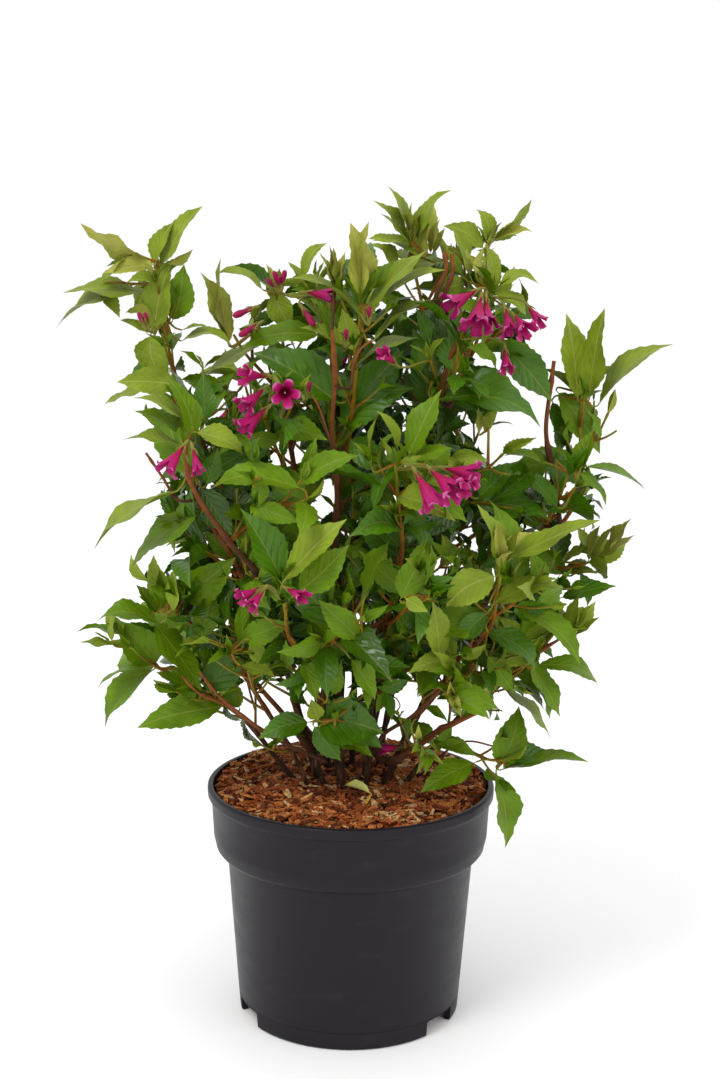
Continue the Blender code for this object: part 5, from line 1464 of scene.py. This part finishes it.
class Graph:
    """Adds and joins the nodes of one material or of one group."""

    def __init__(self, tree):
        self.tree = tree

    def add(self, kind, values=None, **sockets):
        """A node with its settings, and its sockets given as values or as links."""
        node = self.tree.nodes.new(kind)
        for name, value in (values or {}).items():
            setattr(node, name, value)
        for name, value in sockets.items():
            self.join(node.inputs[name.replace("_", " ")], value)
        return node

    def join(self, socket, value):
        if isinstance(value, bpy.types.NodeSocket):
            self.tree.links.new(value, socket)
        else:
            socket.default_value = value

    def math(self, operation, first, second=0.0, clamp=False):
        node = self.tree.nodes.new("ShaderNodeMath")
        node.operation, node.use_clamp = operation, clamp
        self.join(node.inputs[0], first)
        self.join(node.inputs[1], second)
        return node.outputs[0]

    def band(self, value, low, high):
        """A mask that rises smoothly from 0 at low to 1 at high."""
        node = self.tree.nodes.new("ShaderNodeMapRange")
        node.interpolation_type = "SMOOTHSTEP"
        self.join(node.inputs["Value"], value)
        node.inputs["From Min"].default_value = low
        node.inputs["From Max"].default_value = high
        return node.outputs["Result"]

    def blend(self, share, first, second):
        """A colour between two, by a share."""
        node = self.tree.nodes.new("ShaderNodeMix")
        node.data_type = "RGBA"
        self.join(node.inputs[0], share)
        self.join(node.inputs[6], first if isinstance(first, bpy.types.NodeSocket) else (*first, 1))
        self.join(node.inputs[7], second if isinstance(second, bpy.types.NodeSocket) else (*second, 1))
        return node.outputs[2]

    def group(self, tree, **sockets):
        return self.add("ShaderNodeGroup", {"node_tree": tree}, **sockets)


def new_group(name, inputs, outputs):
    """An empty shader group with named sockets. Gives its graph, its inputs node and its outputs node."""
    tree = bpy.data.node_groups.new(name, "ShaderNodeTree")
    for socket, kind, value in inputs:
        made = tree.interface.new_socket(socket, in_out="INPUT", socket_type=kind)
        if value is not None:
            made.default_value = value
    for socket, kind in outputs:
        tree.interface.new_socket(socket, in_out="OUTPUT", socket_type=kind)
    graph = Graph(tree)
    return graph, graph.add("NodeGroupInput").outputs, graph.add("NodeGroupOutput").inputs


def mottle_group():
    """Lightens and darkens a colour in soft patches."""
    graph, inputs, outputs = new_group(
        "mottle",
        [("Colour", "NodeSocketColor", None), ("Vector", "NodeSocketVector", None),
         ("Scale", "NodeSocketFloat", 40.0), ("Amount", "NodeSocketFloat", 0.2)],
        [("Colour", "NodeSocketColor"), ("Patches", "NodeSocketFloat")],
    )
    patches = graph.add("ShaderNodeTexNoise", Vector=inputs["Vector"], Scale=inputs["Scale"], Detail=3.0)
    centred = graph.math("SUBTRACT", patches.outputs["Fac"], 0.5)
    swing = graph.math("MULTIPLY", centred, graph.math("MULTIPLY", inputs["Amount"], 4.0))
    value = graph.math("ADD", swing, 1.0)
    toned = graph.add("ShaderNodeHueSaturation", Color=inputs["Colour"], Value=value)
    graph.join(outputs["Colour"], toned.outputs["Color"])
    graph.join(outputs["Patches"], patches.outputs["Fac"])
    return graph.tree


def vein_group():
    """A leaf's midrib and its side veins, from the leaf's own UV map."""
    graph, inputs, outputs = new_group(
        "leaf_veins",
        [("UV", "NodeSocketVector", None), ("Veins", "NodeSocketFloat", 7.0)],
        [("Midrib", "NodeSocketFloat"), ("Side veins", "NodeSocketFloat"),
         ("Margin", "NodeSocketFloat"), ("Height", "NodeSocketFloat")],
    )
    split = graph.add("ShaderNodeSeparateXYZ", Vector=inputs["UV"]).outputs
    off = graph.math("ABSOLUTE", graph.math("SUBTRACT", split["Y"], 0.5))
    midrib = graph.math("SUBTRACT", 1.0, graph.band(off, 0.010, 0.030))
    lean = graph.math("MULTIPLY", graph.math("POWER", off, 0.8), 0.62)
    along = graph.math("MULTIPLY", graph.math("SUBTRACT", split["X"], lean), inputs["Veins"])
    between = graph.math("ABSOLUTE", graph.math("SUBTRACT", graph.math("FRACT", along), 0.5))
    vein = graph.band(between, 0.40, 0.49)
    graph.join(outputs["Midrib"], midrib)
    graph.join(outputs["Side veins"], vein)
    graph.join(outputs["Margin"], graph.band(off, 0.30, 0.48))
    dome = graph.math("SUBTRACT", 1.0, graph.math("POWER", graph.math("MULTIPLY", between, 2.0), 3.0))
    graph.join(outputs["Height"], graph.math("SUBTRACT", dome, graph.math("MULTIPLY", midrib, 0.8)))
    return graph.tree


def grain_group():
    """Fine streaks and pits for bark, mulch and moulded plastic, as a height."""
    graph, inputs, outputs = new_group(
        "grain",
        [("Vector", "NodeSocketVector", None), ("Scale", "NodeSocketFloat", 200.0),
         ("Stretch", "NodeSocketVector", (1.0, 1.0, 1.0))],
        [("Height", "NodeSocketFloat")],
    )
    spot = graph.add("ShaderNodeVectorMath", {"operation": "MULTIPLY"})
    graph.join(spot.inputs[0], inputs["Vector"])
    graph.join(spot.inputs[1], inputs["Stretch"])
    fine = graph.add("ShaderNodeTexNoise", Vector=spot.outputs[0], Scale=inputs["Scale"], Detail=5.0)
    graph.join(outputs["Height"], fine.outputs["Fac"])
    return graph.tree


MOTTLE, VEINS, GRAIN = mottle_group(), vein_group(), grain_group()


def new_material(name, roughness, **values):
    """A material whose plain values sit on the shader's own sockets."""
    made = bpy.data.materials.new(name)
    made.use_nodes = True
    graph = Graph(made.node_tree)
    shader = made.node_tree.nodes["Principled BSDF"]
    shader.inputs["Roughness"].default_value = roughness
    for socket, value in values.items():
        shader.inputs[socket.replace("_", " ")].default_value = value
    return made, graph, shader.inputs


def bump(graph, inputs, height, strength, distance):
    node = graph.add("ShaderNodeBump", Height=height, Strength=strength, Distance=distance)
    graph.join(inputs["Normal"], node.outputs["Normal"])


def patterned(name, roughness, gloss):
    """A material with its graph, its shader's inputs and the places that its patterns read."""
    made, graph, inputs = new_material(name, roughness, Specular_IOR_Level=gloss)
    return made, graph, inputs, graph.add("ShaderNodeTexCoord").outputs


def mottle(graph, inputs, spot, colour, scale, amount):
    """Joins a colour with soft patches to the shader."""
    base = graph.group(MOTTLE, Colour=colour, Vector=spot["Object"], Scale=scale, Amount=amount)
    graph.join(inputs["Base Color"], base.outputs["Colour"])


def grain_height(graph, spot, scale, stretch):
    return graph.group(GRAIN, Vector=spot["Object"], Scale=scale, Stretch=stretch).outputs["Height"]


def leaf_material(name, colour, vein, roughness, gloss, under=False):
    """Leaf green with a paler midrib, sunk side veins and soft mottling."""
    made, graph, inputs, spot = patterned(name, roughness, gloss)
    veins = graph.group(VEINS, UV=spot["UV"]).outputs
    base = graph.group(MOTTLE, Colour=(*colour, 1), Vector=spot["Object"], Scale=60.0, Amount=0.24)
    darker = tuple(value * (1.25 if under else 0.75) for value in colour)
    shaded = graph.blend(graph.math("MULTIPLY", veins["Side veins"], 0.45), base.outputs["Colour"], darker)
    colour = graph.blend(graph.math("MULTIPLY", veins["Midrib"], 0.8), shaded, vein)
    graph.join(inputs["Base Color"], colour)
    bump(graph, inputs, veins["Height"], -0.3 if under else 0.14 + 0.5 * gloss, 0.0012)
    return made


def twig_material(name, foot, tip, roughness):
    """Bark that is brown at a shoot's foot and green or orange at its tip."""
    made, graph, inputs, spot = patterned(name, roughness, TWIG_GLOSS)
    share = graph.add("ShaderNodeSeparateXYZ", Vector=spot["UV"]).outputs["Y"]
    aged = graph.blend(graph.band(share, 0.15, 0.95), foot, tip)
    mottle(graph, inputs, spot, aged, 220.0, 0.25)
    bump(graph, inputs, grain_height(graph, spot, 900.0, (1.0, 1.0, 0.15)), 0.3, 0.0004)
    return made


def bark_material():
    """Old bark is dark, cracked and peels in pale strips. Towards the tip it is smooth orange-brown."""
    made, graph, inputs, spot = patterned("bark", 0.72, TWIG_GLOSS)
    share = graph.add("ShaderNodeSeparateXYZ", Vector=spot["UV"]).outputs["Y"]
    aged = graph.blend(graph.band(share, 0.20, 0.85), BARK_OLD, BARK_YOUNG)
    strips = grain_height(graph, spot, 260.0, (1.0, 1.0, 0.10))
    peel = graph.math("MULTIPLY", graph.band(strips, 0.54, 0.66), 0.55)
    worn = graph.blend(peel, aged, BARK_PEEL)
    cracks = graph.math("MULTIPLY", graph.math("SUBTRACT", 1.0, graph.band(strips, 0.34, 0.46)), 0.7)
    cracked = graph.blend(cracks, worn, BARK_CRACK)
    mottle(graph, inputs, spot, cracked, 120.0, 0.15)
    bump(graph, inputs, strips, 0.8, 0.0012)
    return made


def petal_material():
    """Crimson towards the tube, magenta lobes with streaks, and a thin pale edge, partly a painted highlight.
    """
    made, graph, inputs, spot = patterned("petals", 0.45, PETAL_GLOSS)
    split = graph.add("ShaderNodeSeparateXYZ", Vector=spot["UV"]).outputs
    body = graph.blend(graph.band(split["Y"], 0.35, 0.85), PETAL_TUBE, PETAL_LOBE)
    rim_and_highlight = graph.blend(graph.math("MULTIPLY", graph.band(split["Y"], 0.93, 1.0), 0.8), body, PETAL_EDGE_AND_HIGHLIGHT)
    mottle(graph, inputs, spot, rim_and_highlight, 420.0, 0.22)
    bump(graph, inputs, grain_height(graph, spot, 700.0, (1.0, 1.0, 1.0)), 0.25, 0.0006)
    return made


def chip_material(name, colour):
    """Shredded bark: streaked fibres with darker pores."""
    made, graph, inputs, spot = patterned(name, 0.85, 0.2)
    grain = grain_height(graph, spot, 700.0, (1.0, 0.35, 1.0))
    darker = tuple(value * 0.45 for value in colour)
    streaked = graph.blend(graph.band(grain, 0.35, 0.65), darker, colour)
    mottle(graph, inputs, spot, streaked, 90.0, 0.25)
    bump(graph, inputs, grain, 0.7, 0.0008)
    return made


def pot_material():
    """Moulded black plastic: satin, faintly brushed round, with light scuffs and dust."""
    made, graph, inputs, spot = patterned("pot_plastic", 0.42, 0.18)
    scuffs = grain_height(graph, spot, 30.0, (1.0, 1.0, 3.0))
    dust = graph.math("MULTIPLY", graph.band(scuffs, 0.55, 0.75), 0.35)
    graph.join(inputs["Base Color"], graph.blend(dust, POT_BLACK, POT_DUST))
    fine = grain_height(graph, spot, 900.0, (1.0, 1.0, 0.6))
    graph.join(inputs["Roughness"], graph.math("ADD", graph.math("MULTIPLY", scuffs, 0.22), 0.30))
    bump(graph, inputs, fine, 0.12, 0.0004)
    return made


def plain_material(name, colour, roughness):
    """A small part's colour with soft mottling."""
    made, graph, inputs, spot = patterned(name, roughness, PETAL_GLOSS)
    mottle(graph, inputs, spot, (*colour, 1), 300.0, 0.2)
    return made


# Pot and mulch, shaped in edit mode


def deselect():
    if bpy.context.object and bpy.context.object.mode != "OBJECT":
        bpy.ops.object.mode_set(mode="OBJECT")
    bpy.ops.object.select_all(action="DESELECT")


def lathe(name, profile, sides):
    """A disc drawn up ring by ring through a profile of radii and heights, and closed at its end."""
    deselect()
    radius, height = profile[0]
    bpy.ops.mesh.primitive_circle_add(vertices=sides, radius=radius, fill_type="NGON",
                                      location=(0, 0, height))
    obj = bpy.context.object
    obj.name = obj.data.name = name
    bpy.ops.object.transform_apply()
    bpy.ops.object.mode_set(mode="EDIT")
    bpy.ops.mesh.select_all(action="SELECT")
    for next_radius, next_height in profile[1:]:
        bpy.ops.mesh.extrude_region_move(
            TRANSFORM_OT_translate={"value": (0, 0, next_height - height)}
        )
        share = next_radius / radius
        bpy.ops.transform.resize(value=(share, share, 1), center_override=(0, 0, next_height))
        radius, height = next_radius, next_height
    bpy.ops.mesh.select_all(action="SELECT")
    bpy.ops.mesh.normals_make_consistent(inside=False)
    bpy.ops.object.mode_set(mode="OBJECT")
    return obj


def rounded(start, corner, end, steps=4):
    """Points of a rounded corner between two points of a profile."""
    points = []
    for step in range(steps + 1):
        t = step / steps
        points.append(tuple(
            (1 - t) ** 2 * a + 2 * t * (1 - t) * b + t * t * c for a, b, c in zip(start, corner, end)
        ))
    return points


def pot_profile():
    """The source's pot, with rounded edges and the two lines moulded round it."""
    top = POT_HEIGHT
    collar_foot, body_top = top - COLLAR_DEPTH, top - BODY_TOP_DEPTH
    line, lip = BODY_LINE_HEIGHT, top - LIP_HEIGHT
    rim, collar, collar_low, body = RIM_RADIUS, COLLAR_TOP_RADIUS, COLLAR_LOW_RADIUS, BODY_TOP_RADIUS
    line_radius = BASE_RADIUS + (body - BASE_RADIUS) * line / body_top
    shoulder = (collar_low + body) / 2 + 0.002
    outside = [
        (BASE_RADIUS - 0.0012, 0.0), (BASE_RADIUS, 0.0010),
        (line_radius - 0.0001, line - 0.0008), (line_radius - GROOVE_DEPTH, line),
        (line_radius + 0.0001, line + 0.0008),
        (body - 0.0001, body_top + 0.0010), (body + 0.0004, body_top + 0.0018),
        (body + 0.0005, body_top + 0.0030), (body + 0.0016, body_top + 0.0036),
    ]
    outside += rounded((shoulder - 0.0022, collar_foot - 0.0130), (shoulder, collar_foot - 0.0112),
                       (shoulder + 0.0014, collar_foot - 0.0090), 3)
    outside += rounded((collar_low - 0.0014, collar_foot - 0.0048),
                       (collar_low, collar_foot - 0.0012), (collar_low, collar_foot + 0.004), 4)
    outside += rounded((collar, lip - 0.0008),
                       (collar + 0.0002, lip + 0.0006),
                       (rim - 0.0008, lip + 0.0016), 3)
    outside += rounded((rim - 0.0002, lip + 0.0026), (rim, top - 0.006),
                       (rim, top - 0.0026), 2)
    outside += rounded((rim, top - 0.0020), (rim, top), (rim - 0.0022, top), 4)
    inside = rounded((rim - LIP_WIDTH + 0.0010, top), (rim - LIP_WIDTH, top),
                     (rim - LIP_WIDTH, top - 0.0010), 3)
    inside += [
        (collar - WALL, lip), (collar_low - WALL, collar_foot + 0.002),
        (body + 0.0035, collar_foot - 0.0105), (body - WALL, body_top),
        (BASE_RADIUS - WALL + 0.0008, FLOOR_LIFT + WALL), (PAD_RADIUS + 0.003, FLOOR_LIFT + WALL),
        (PAD_RADIUS - 0.001, WALL),
    ]
    under = [
        (PAD_RADIUS, 0.0), (PAD_RADIUS + 0.004, FLOOR_LIFT),
        (FOOT_INNER_RADIUS - 0.001, FLOOR_LIFT), (FOOT_INNER_RADIUS, 0.0),
    ]
    return under + outside + inside


def make_pot():
    pot = lathe("pot_shell", pot_profile(), POT_SIDES)
    cutters = []
    for angle in NOTCH_ANGLES:
        deselect()
        turn = math.radians(angle)
        bpy.ops.mesh.primitive_cube_add(size=1, location=(
            NOTCH_RADIUS * math.cos(turn), NOTCH_RADIUS * math.sin(turn), 0))
        cutter = bpy.context.object
        cutter.dimensions = (NOTCH_DEPTH, NOTCH_WIDTH, 2 * NOTCH_HEIGHT)
        cutter.rotation_euler = (0, 0, turn)
        bpy.ops.object.transform_apply(location=False, rotation=False)
        bpy.ops.object.mode_set(mode="EDIT")
        bpy.ops.mesh.bevel(offset=0.002, segments=3)
        bpy.ops.object.mode_set(mode="OBJECT")
        cutters.append(cutter)
    for cutter in cutters:
        cut = pot.modifiers.new("notch", "BOOLEAN")
        cut.operation, cut.object = "DIFFERENCE", cutter
        deselect()
        bpy.context.view_layer.objects.active = pot
        bpy.ops.object.modifier_apply(modifier=cut.name)
        bpy.data.objects.remove(cutter)
    deselect()
    pot.select_set(True)
    bpy.context.view_layer.objects.active = pot
    bpy.ops.object.shade_smooth_by_angle(angle=math.radians(POT_SHARP_ANGLE))
    finished(pot, [pot_material()], ["pot"])


def mulch_height(radius, back=0.0):
    """The height of the mix's top at a distance from the middle and a share towards the back."""
    rings = [(0, MULCH_TOP), (MIX_FLAT_RADIUS, MULCH_TOP), (MIX_FLAT_RADIUS + 0.018, MULCH_TOP - 0.001),
             (MULCH_EDGE - 0.012, MULCH_RIM + 0.003), (MULCH_EDGE, MULCH_RIM)]
    rise = MULCH_BACK_RISE * max(back, 0) * radius / MULCH_EDGE
    return rise + float(np.interp(radius, [ring[0] for ring in rings], [ring[1] for ring in rings]))


def make_mulch_bed():
    """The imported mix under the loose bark, with a lumpy top."""
    inset = BED_INSET
    profile = [
        (PAD_RADIUS - 0.0025, WALL + inset), (PAD_RADIUS + 0.0025, FLOOR_LIFT + WALL + inset),
        (BASE_RADIUS - WALL - inset, FLOOR_LIFT + WALL + inset),
        (BODY_TOP_RADIUS - WALL - inset, POT_HEIGHT - BODY_TOP_DEPTH),
        (BODY_TOP_RADIUS + 0.0035 - inset, POT_HEIGHT - COLLAR_DEPTH - 0.0105),
        (COLLAR_LOW_RADIUS - WALL - inset, POT_HEIGHT - COLLAR_DEPTH + 0.002),
    ]
    for ring in range(BED_RINGS):
        radius = MULCH_EDGE * (1 - ring / BED_RINGS)
        profile.append((radius, mulch_height(radius)))
    bed = lathe("mulch_bed", profile, BED_SIDES)
    for vertex in bed.data.vertices:
        if vertex.co.z > MULCH_RIM - 0.001:
            lump = noise.noise(vertex.co * 130) * 0.0012 + noise.noise(vertex.co * 420) * 0.0006
            vertex.co.z += lump - 0.0012 + MULCH_BACK_RISE * max(vertex.co.y / MULCH_EDGE, 0)
    bed.data.shade_smooth()
    finished(bed, [chip_material("packed_mix", MULCH_TINTS["red_brown"][0])],
             ["potting_mix"])


def make_mulch():
    """Loose shredded bark: splinters and chips in four tints, lying on each other."""
    heaps = {tint: Heap() for tint in MULCH_TINTS}
    draw = dice("mulch")
    tints = [tint for tint, (_, share) in MULCH_TINTS.items() for _ in range(share)]
    feet = [(Vector((x, y, 0)), radius) for (x, y), _, _, radius in LIMBS.values()]
    for number in range(CHIPS):
        radius = (MULCH_EDGE - 0.001) * math.sqrt(draw.random())
        angle = draw.uniform(0, math.tau)
        middle = Vector((radius * math.cos(angle), radius * math.sin(angle), 0))
        layer = number / CHIPS
        if any((middle - foot).length < girth + 0.001 for foot, girth in feet):
            continue
        length = draw.uniform(*(CHIP_LENGTHS if draw.random() < CHIP_SHARE else SPLINTER_LENGTHS))
        width = length * draw.uniform(*CHIP_WIDTHS)
        thick = draw.uniform(*CHIP_THICKNESSES)
        middle.z = mulch_height(radius, math.sin(angle)) + layer * CHIP_PILE + thick / 2 - 0.0006
        yaw, pitch = draw.uniform(0, math.tau), draw.gauss(0, 0.26)
        turn = Matrix.Rotation(yaw, 3, "Z") @ Matrix.Rotation(pitch, 3, "Y")
        turn = turn @ Matrix.Rotation(draw.gauss(0, 0.35), 3, "X")
        reach = (turn @ Vector((length / 2, 0, 0))) + middle
        if math.hypot(reach.x, reach.y) > MULCH_EDGE or math.hypot(*(2 * middle - reach)[:2]) > MULCH_EDGE:
            continue
        bend = draw.uniform(-0.12, 0.12) * length
        corners = []
        for share, fatness in ((-0.5, draw.uniform(0.15, 0.9)), (0.0, 1.0), (0.5, draw.uniform(0.1, 0.8))):
            sag = bend * (1 - 4 * share * share)
            for side, top in ((-1, -1), (1, -1), (1, 1), (-1, 1)):
                spot = Vector((length * share + draw.uniform(-0.06, 0.06) * length,
                               side * width / 2 * fatness + sag, top * thick / 2))
                corners.append(middle + turn @ spot)
        faces = [(3, 2, 1, 0), (8, 9, 10, 11)]
        for ring in (0, 4):
            for side in range(4):
                after = (side + 1) % 4
                faces.append((ring + side, ring + after, ring + 4 + after, ring + 4 + side))
        heaps[draw.choice(tints)].add(corners, faces, [(0.5, 0.5)] * 12)
    for tint, heap in heaps.items():
        colour = MULCH_TINTS[tint][0]
        heap.piece(f"bark_chips_{tint}", [chip_material(f"chips_{tint}", colour)], "potting_mix",
                   [], sharp=30)


def make_stems():
    bark = bark_material()
    for name in LIMBS:
        draw_limb(name).piece(name.replace("limb", "stem"), [bark], "bark", [name], sharp=60)


def tint_number(shoot, number, base, tip, draw):
    """Which leaf green suits a leaf: the tips and the top are young and take greens with painted light, the
    heart and the foot old.
    """
    height = picture_place(base.lerp(tip, 0.5))[1]
    tone = MASS_TONES.get(shoot.mass, float(np.interp(height, TONE_HEIGHTS, TONES)))
    tone += PAIR_TONES[min(max(number, 0), 3)] - (0.5 if number < 0 else 0)
    tone += 0.4 if "_" in shoot.label else 0
    return tone + draw.gauss(0, 0.6)


def make_leaves(crown):
    """Draws every leaf into the heap of its green."""
    full, small = leaf_pattern(LEAF_ROWS, True), leaf_pattern(YOUNG_ROWS, False)
    heaps = [Heap() for _ in LEAF_GREENS]
    for index, (shoot, number, base, tip, facing, seen) in enumerate(crown.leaves):
        draw = dice(shoot.mass, shoot.label, "look", index)
        tone = seen[3] if seen else tint_number(shoot, number, base, tip, draw)
        tint = min(max(round(tone), 0), len(LEAF_GREENS) - 1)
        young = 1.0 if number < 0 else 0.0
        pattern = small if (tip - base).length < SMALL_LEAF else full
        draw_leaf(heaps[tint], pattern, base, tip, facing, draw, young, seen)
    for (name, colour, vein, under, roughness, gloss), heap in zip(LEAF_GREENS, heaps):
        top = leaf_material(f"leaf_{name}", colour, vein, roughness, gloss)
        below = leaf_material(f"leaf_{name}_underside", under, vein, 0.68, 0.15, under=True)
        if heap.faces:
            foliage(heap, f"leaves_{name}", top, below, sharp=80)


def make_twigs(shoots, twigs, finer, stubs):
    leaders, fine = Heap(), Heap()
    limb_lines = {name: smooth_line(limb_points(name), LIMB_STEPS) for name in LIMBS}
    for shoot in shoots:
        swellings = [share_of(shoot, node) for node in shoot.nodes]
        draw_twig(leaders, shoot.points, twig_radii(shoot), sides=7, steps=5, swellings=swellings)
    for shoot in finer:
        points, radii = shoot.points, twig_radii(shoot)
        if shoot in twigs:
            points, radii = rooted(points, radii, limb_lines[shoot.label.rsplit("_", 1)[0]])
        draw_twig(fine, points, radii, sides=5, steps=3)
    for line in stubs:
        draw_twig(fine, line, [FINE_RADIUS * share for share in STUB_SHARES], sides=5, steps=3)
    foliage(leaders, "shoot_stems", twig_material("shoot_bark", SHOOT_FOOT, SHOOT_TIP, 0.5))
    foliage(fine, "fine_twigs", twig_material("fine_twig_bark", FINE_FOOT, FINE_TIP, 0.5))


def share_of(shoot, node):
    """How far along its shoot a node lies."""
    total = length_of(shoot.points)
    return 1 - min((shoot.points[-1] - node[0]).length / total, 1)


def make_blossom(crown):
    petals, calyxes, styles, buds = Heap(), Heap(), Heap(), Heap()
    for line in crown.stalks:
        draw_twig(calyxes, line, [STALK_RADIUS * 0.8] * 4, sides=5, steps=2)
    for number, (foot, way, size, opening) in enumerate(crown.flowers):
        draw = dice("flower", number)
        draw_flower(petals, foot, way, size, opening, draw)
        draw_calyx(calyxes, foot, way, draw.uniform(0, 1))
        throat = foot + way * FLOWER_LENGTH * STYLE_FOOT * size
        mouth = foot + way * FLOWER_LENGTH * STYLE_TOP * size
        draw_twig(styles, [throat, (throat + mouth) / 2, mouth, mouth + way * 0.0012],
                  [0.0003, 0.0003, 0.0003, 0.0006], sides=5, steps=2)
    for number, (foot, way, size, _) in enumerate(crown.buds):
        points = [foot + way * BUD_LENGTH * size * share for share, _ in BUD_PROFILE]
        draw_twig(buds, points, [radius * size for _, radius in BUD_PROFILE], sides=8, steps=2)
        draw_calyx(calyxes, foot, way, number)
    foliage(petals, "flowers", petal_material(), sharp=70)
    foliage(buds, "flower_buds", plain_material("bud_crimson", BUD_CRIMSON, 0.45))
    foliage(calyxes, "flower_stalks", plain_material("calyx_green", CALYX_GREEN, 0.55))
    foliage(styles, "flower_styles", plain_material("style_cream", STYLE_CREAM, 0.5))


def rooted(points, radii, anchors):
    """A twig begun on the wood below or behind its foot, where that would hang free."""
    foot = points[0]

    def cost(spot):
        return (spot - foot).length + max(foot.y - spot.y, 0) + max(spot.z - foot.z, 0)

    root = min(anchors, key=cost)
    if foot.z < MULCH_TOP or (root - foot).length < ROOT_CLOSE:
        return points, radii
    return [root, *points], [radii[0], *radii]


def make_old_twigs(shoots):
    """The bare twigs and pruned ends that the photograph shows."""
    twigs = Heap()
    anchors = [spot for name in LIMBS for spot in smooth_line(limb_points(name), LIMB_STEPS)]
    anchors += [spot for shoot in shoots for spot in smooth_line(shoot.points, 5)]
    for number, (course, foot_depth, tip_depth, foot_radius, tip_radius) in enumerate(SEEN_TWIGS):
        last = len(course) - 1
        depths = even_steps(foot_depth, tip_depth, last)
        points = [seen_place(spot, depth) for spot, depth in zip(course, depths)]
        if points[0].z < MIX_TOP + 0.03:
            points[0].z = MIX_TOP - 0.002
        radii = even_steps(foot_radius, tip_radius, last)
        draw = dice("old twig", number)
        swellings = [draw.uniform(0.1, 0.95) for _ in range(1 + int(length_of(points) / 0.03))]
        points, radii = rooted(points, radii, anchors)
        draw_twig(twigs, points, radii, sides=8, steps=9, swellings=swellings)
        anchors += smooth_line(points, 9)
    twigs.piece("old_twigs", [twig_material("old_twig_bark", OLD_TWIG_FOOT, OLD_TWIG_TIP, 0.6)], "bark", [])


def on_mix(spot, height):
    """The point at a height that the camera sees at a spot of the photograph."""
    near, far = seen_place(spot, -0.1), seen_place(spot, 0.0)
    return near.lerp(far, (height - near.z) / (far.z - near.z))


def make_fallen_leaf():
    """A faded leaf with an orange stalk, which lies on the bark."""
    leaf, stalk = Heap(), Heap()
    heights = [MULCH_TOP + FALLEN_LEAF_LIFT + lift for lift in FALLEN_LEAF_STEPS]
    end, base, tip = [on_mix(spot, height) for spot, height in zip(FALLEN_LEAF, heights)]
    facing = Vector((0, -0.5, 1))
    pattern = leaf_pattern(YOUNG_ROWS, False)
    draw_leaf(leaf, pattern, base, tip, facing, dice("fallen"), 0.0, FALLEN_LEAF_SHAPE)
    draw_twig(stalk, [base, (base + end) / 2, end], [STALK_RADIUS, STALK_RADIUS * 1.3, STALK_RADIUS])
    faded = leaf_material("faded_leaf", FADED_GREEN, FADED_GREEN, 0.5, 0.2)
    leaf.piece("fallen_leaf", [faded, faded], "foliage", [], sharp=80)
    stalk.piece("fallen_stalk", [plain_material("faded_stalk", FADED_ORANGE, 0.5)], "foliage", [])


# Studio


def make_studio():
    """A white floor and a white sky, a large soft key light from the upper left and a soft fill."""
    deselect()
    bpy.ops.mesh.primitive_plane_add(size=FLOOR_SIZE, location=(0, 0, FLOOR_HEIGHT))
    floor = bpy.context.object
    floor.name = "floor"
    paper, _, inputs = new_material("floor_paper", 0.9)
    inputs["Base Color"].default_value = (*FLOOR_WHITE, 1)
    floor.data.materials.append(paper)
    world = bpy.data.worlds.new("studio_sky")
    world.use_nodes = True
    sky = world.node_tree.nodes["Background"].inputs
    sky["Color"].default_value = (1, 1, 1, 1)
    sky["Strength"].default_value = SKY_STRENGTH
    bpy.context.scene.world = world
    for name, place, size, power in STUDIO_LIGHTS:
        lamp = bpy.data.lights.new(name, "AREA")
        lamp.shape, lamp.size, lamp.energy = "DISK", size, power
        light = bpy.data.objects.new(name, lamp)
        light.location = place
        light.rotation_euler = (LIGHT_AIM - Vector(place)).to_track_quat("-Z", "Y").to_euler()
        bpy.context.scene.collection.objects.link(light)


def make_camera():
    lens = bpy.data.cameras.new("camera")
    lens.sensor_width = 36
    lens.lens = CAMERA_LENS
    camera = bpy.data.objects.new("camera", lens)
    camera.matrix_world = CAMERA_VIEW
    bpy.context.scene.collection.objects.link(camera)
    bpy.context.scene.camera = camera


def set_view():
    view = bpy.context.scene.view_settings
    view.view_transform, view.look = "Standard", "None"
    view.exposure, view.gamma = 0.0, 1.0


def main():
    make_camera()
    set_view()
    make_studio()
    make_pot()
    make_mulch_bed()
    make_mulch()
    make_stems()
    crown = Crown()
    shoots = place_shoots(crown)
    place_seen_flowers(crown, shoots)
    place_back_flowers(crown, shoots)
    place_seen_leaves(crown, shoots)
    place_leaves(crown, shoots)
    print(len(SEEN_LEAVES), "seen leaves,", len(crown.leaves) - len(SEEN_LEAVES), "by the source's rule")
    place_young_tips(crown, shoots)
    twigs = limb_twigs(crown)
    place_leaves(crown, twigs, FINE_CLEARANCE)
    finer = twigs + finer_shoots(crown, shoots) + finer_shoots(crown, twigs)
    place_leaves(crown, finer[len(twigs):], FINE_CLEARANCE)
    place_young_tips(crown, finer)
    print(len(shoots), "shoots,", len(twigs), "limb twigs,", len(finer) - len(twigs), "finer twigs,",
          len(crown.leaves), "leaves in all")
    make_leaves(crown)
    make_twigs(shoots, twigs, finer, crown.stubs)
    make_blossom(crown)
    make_old_twigs(shoots + finer)
    make_fallen_leaf()


main()
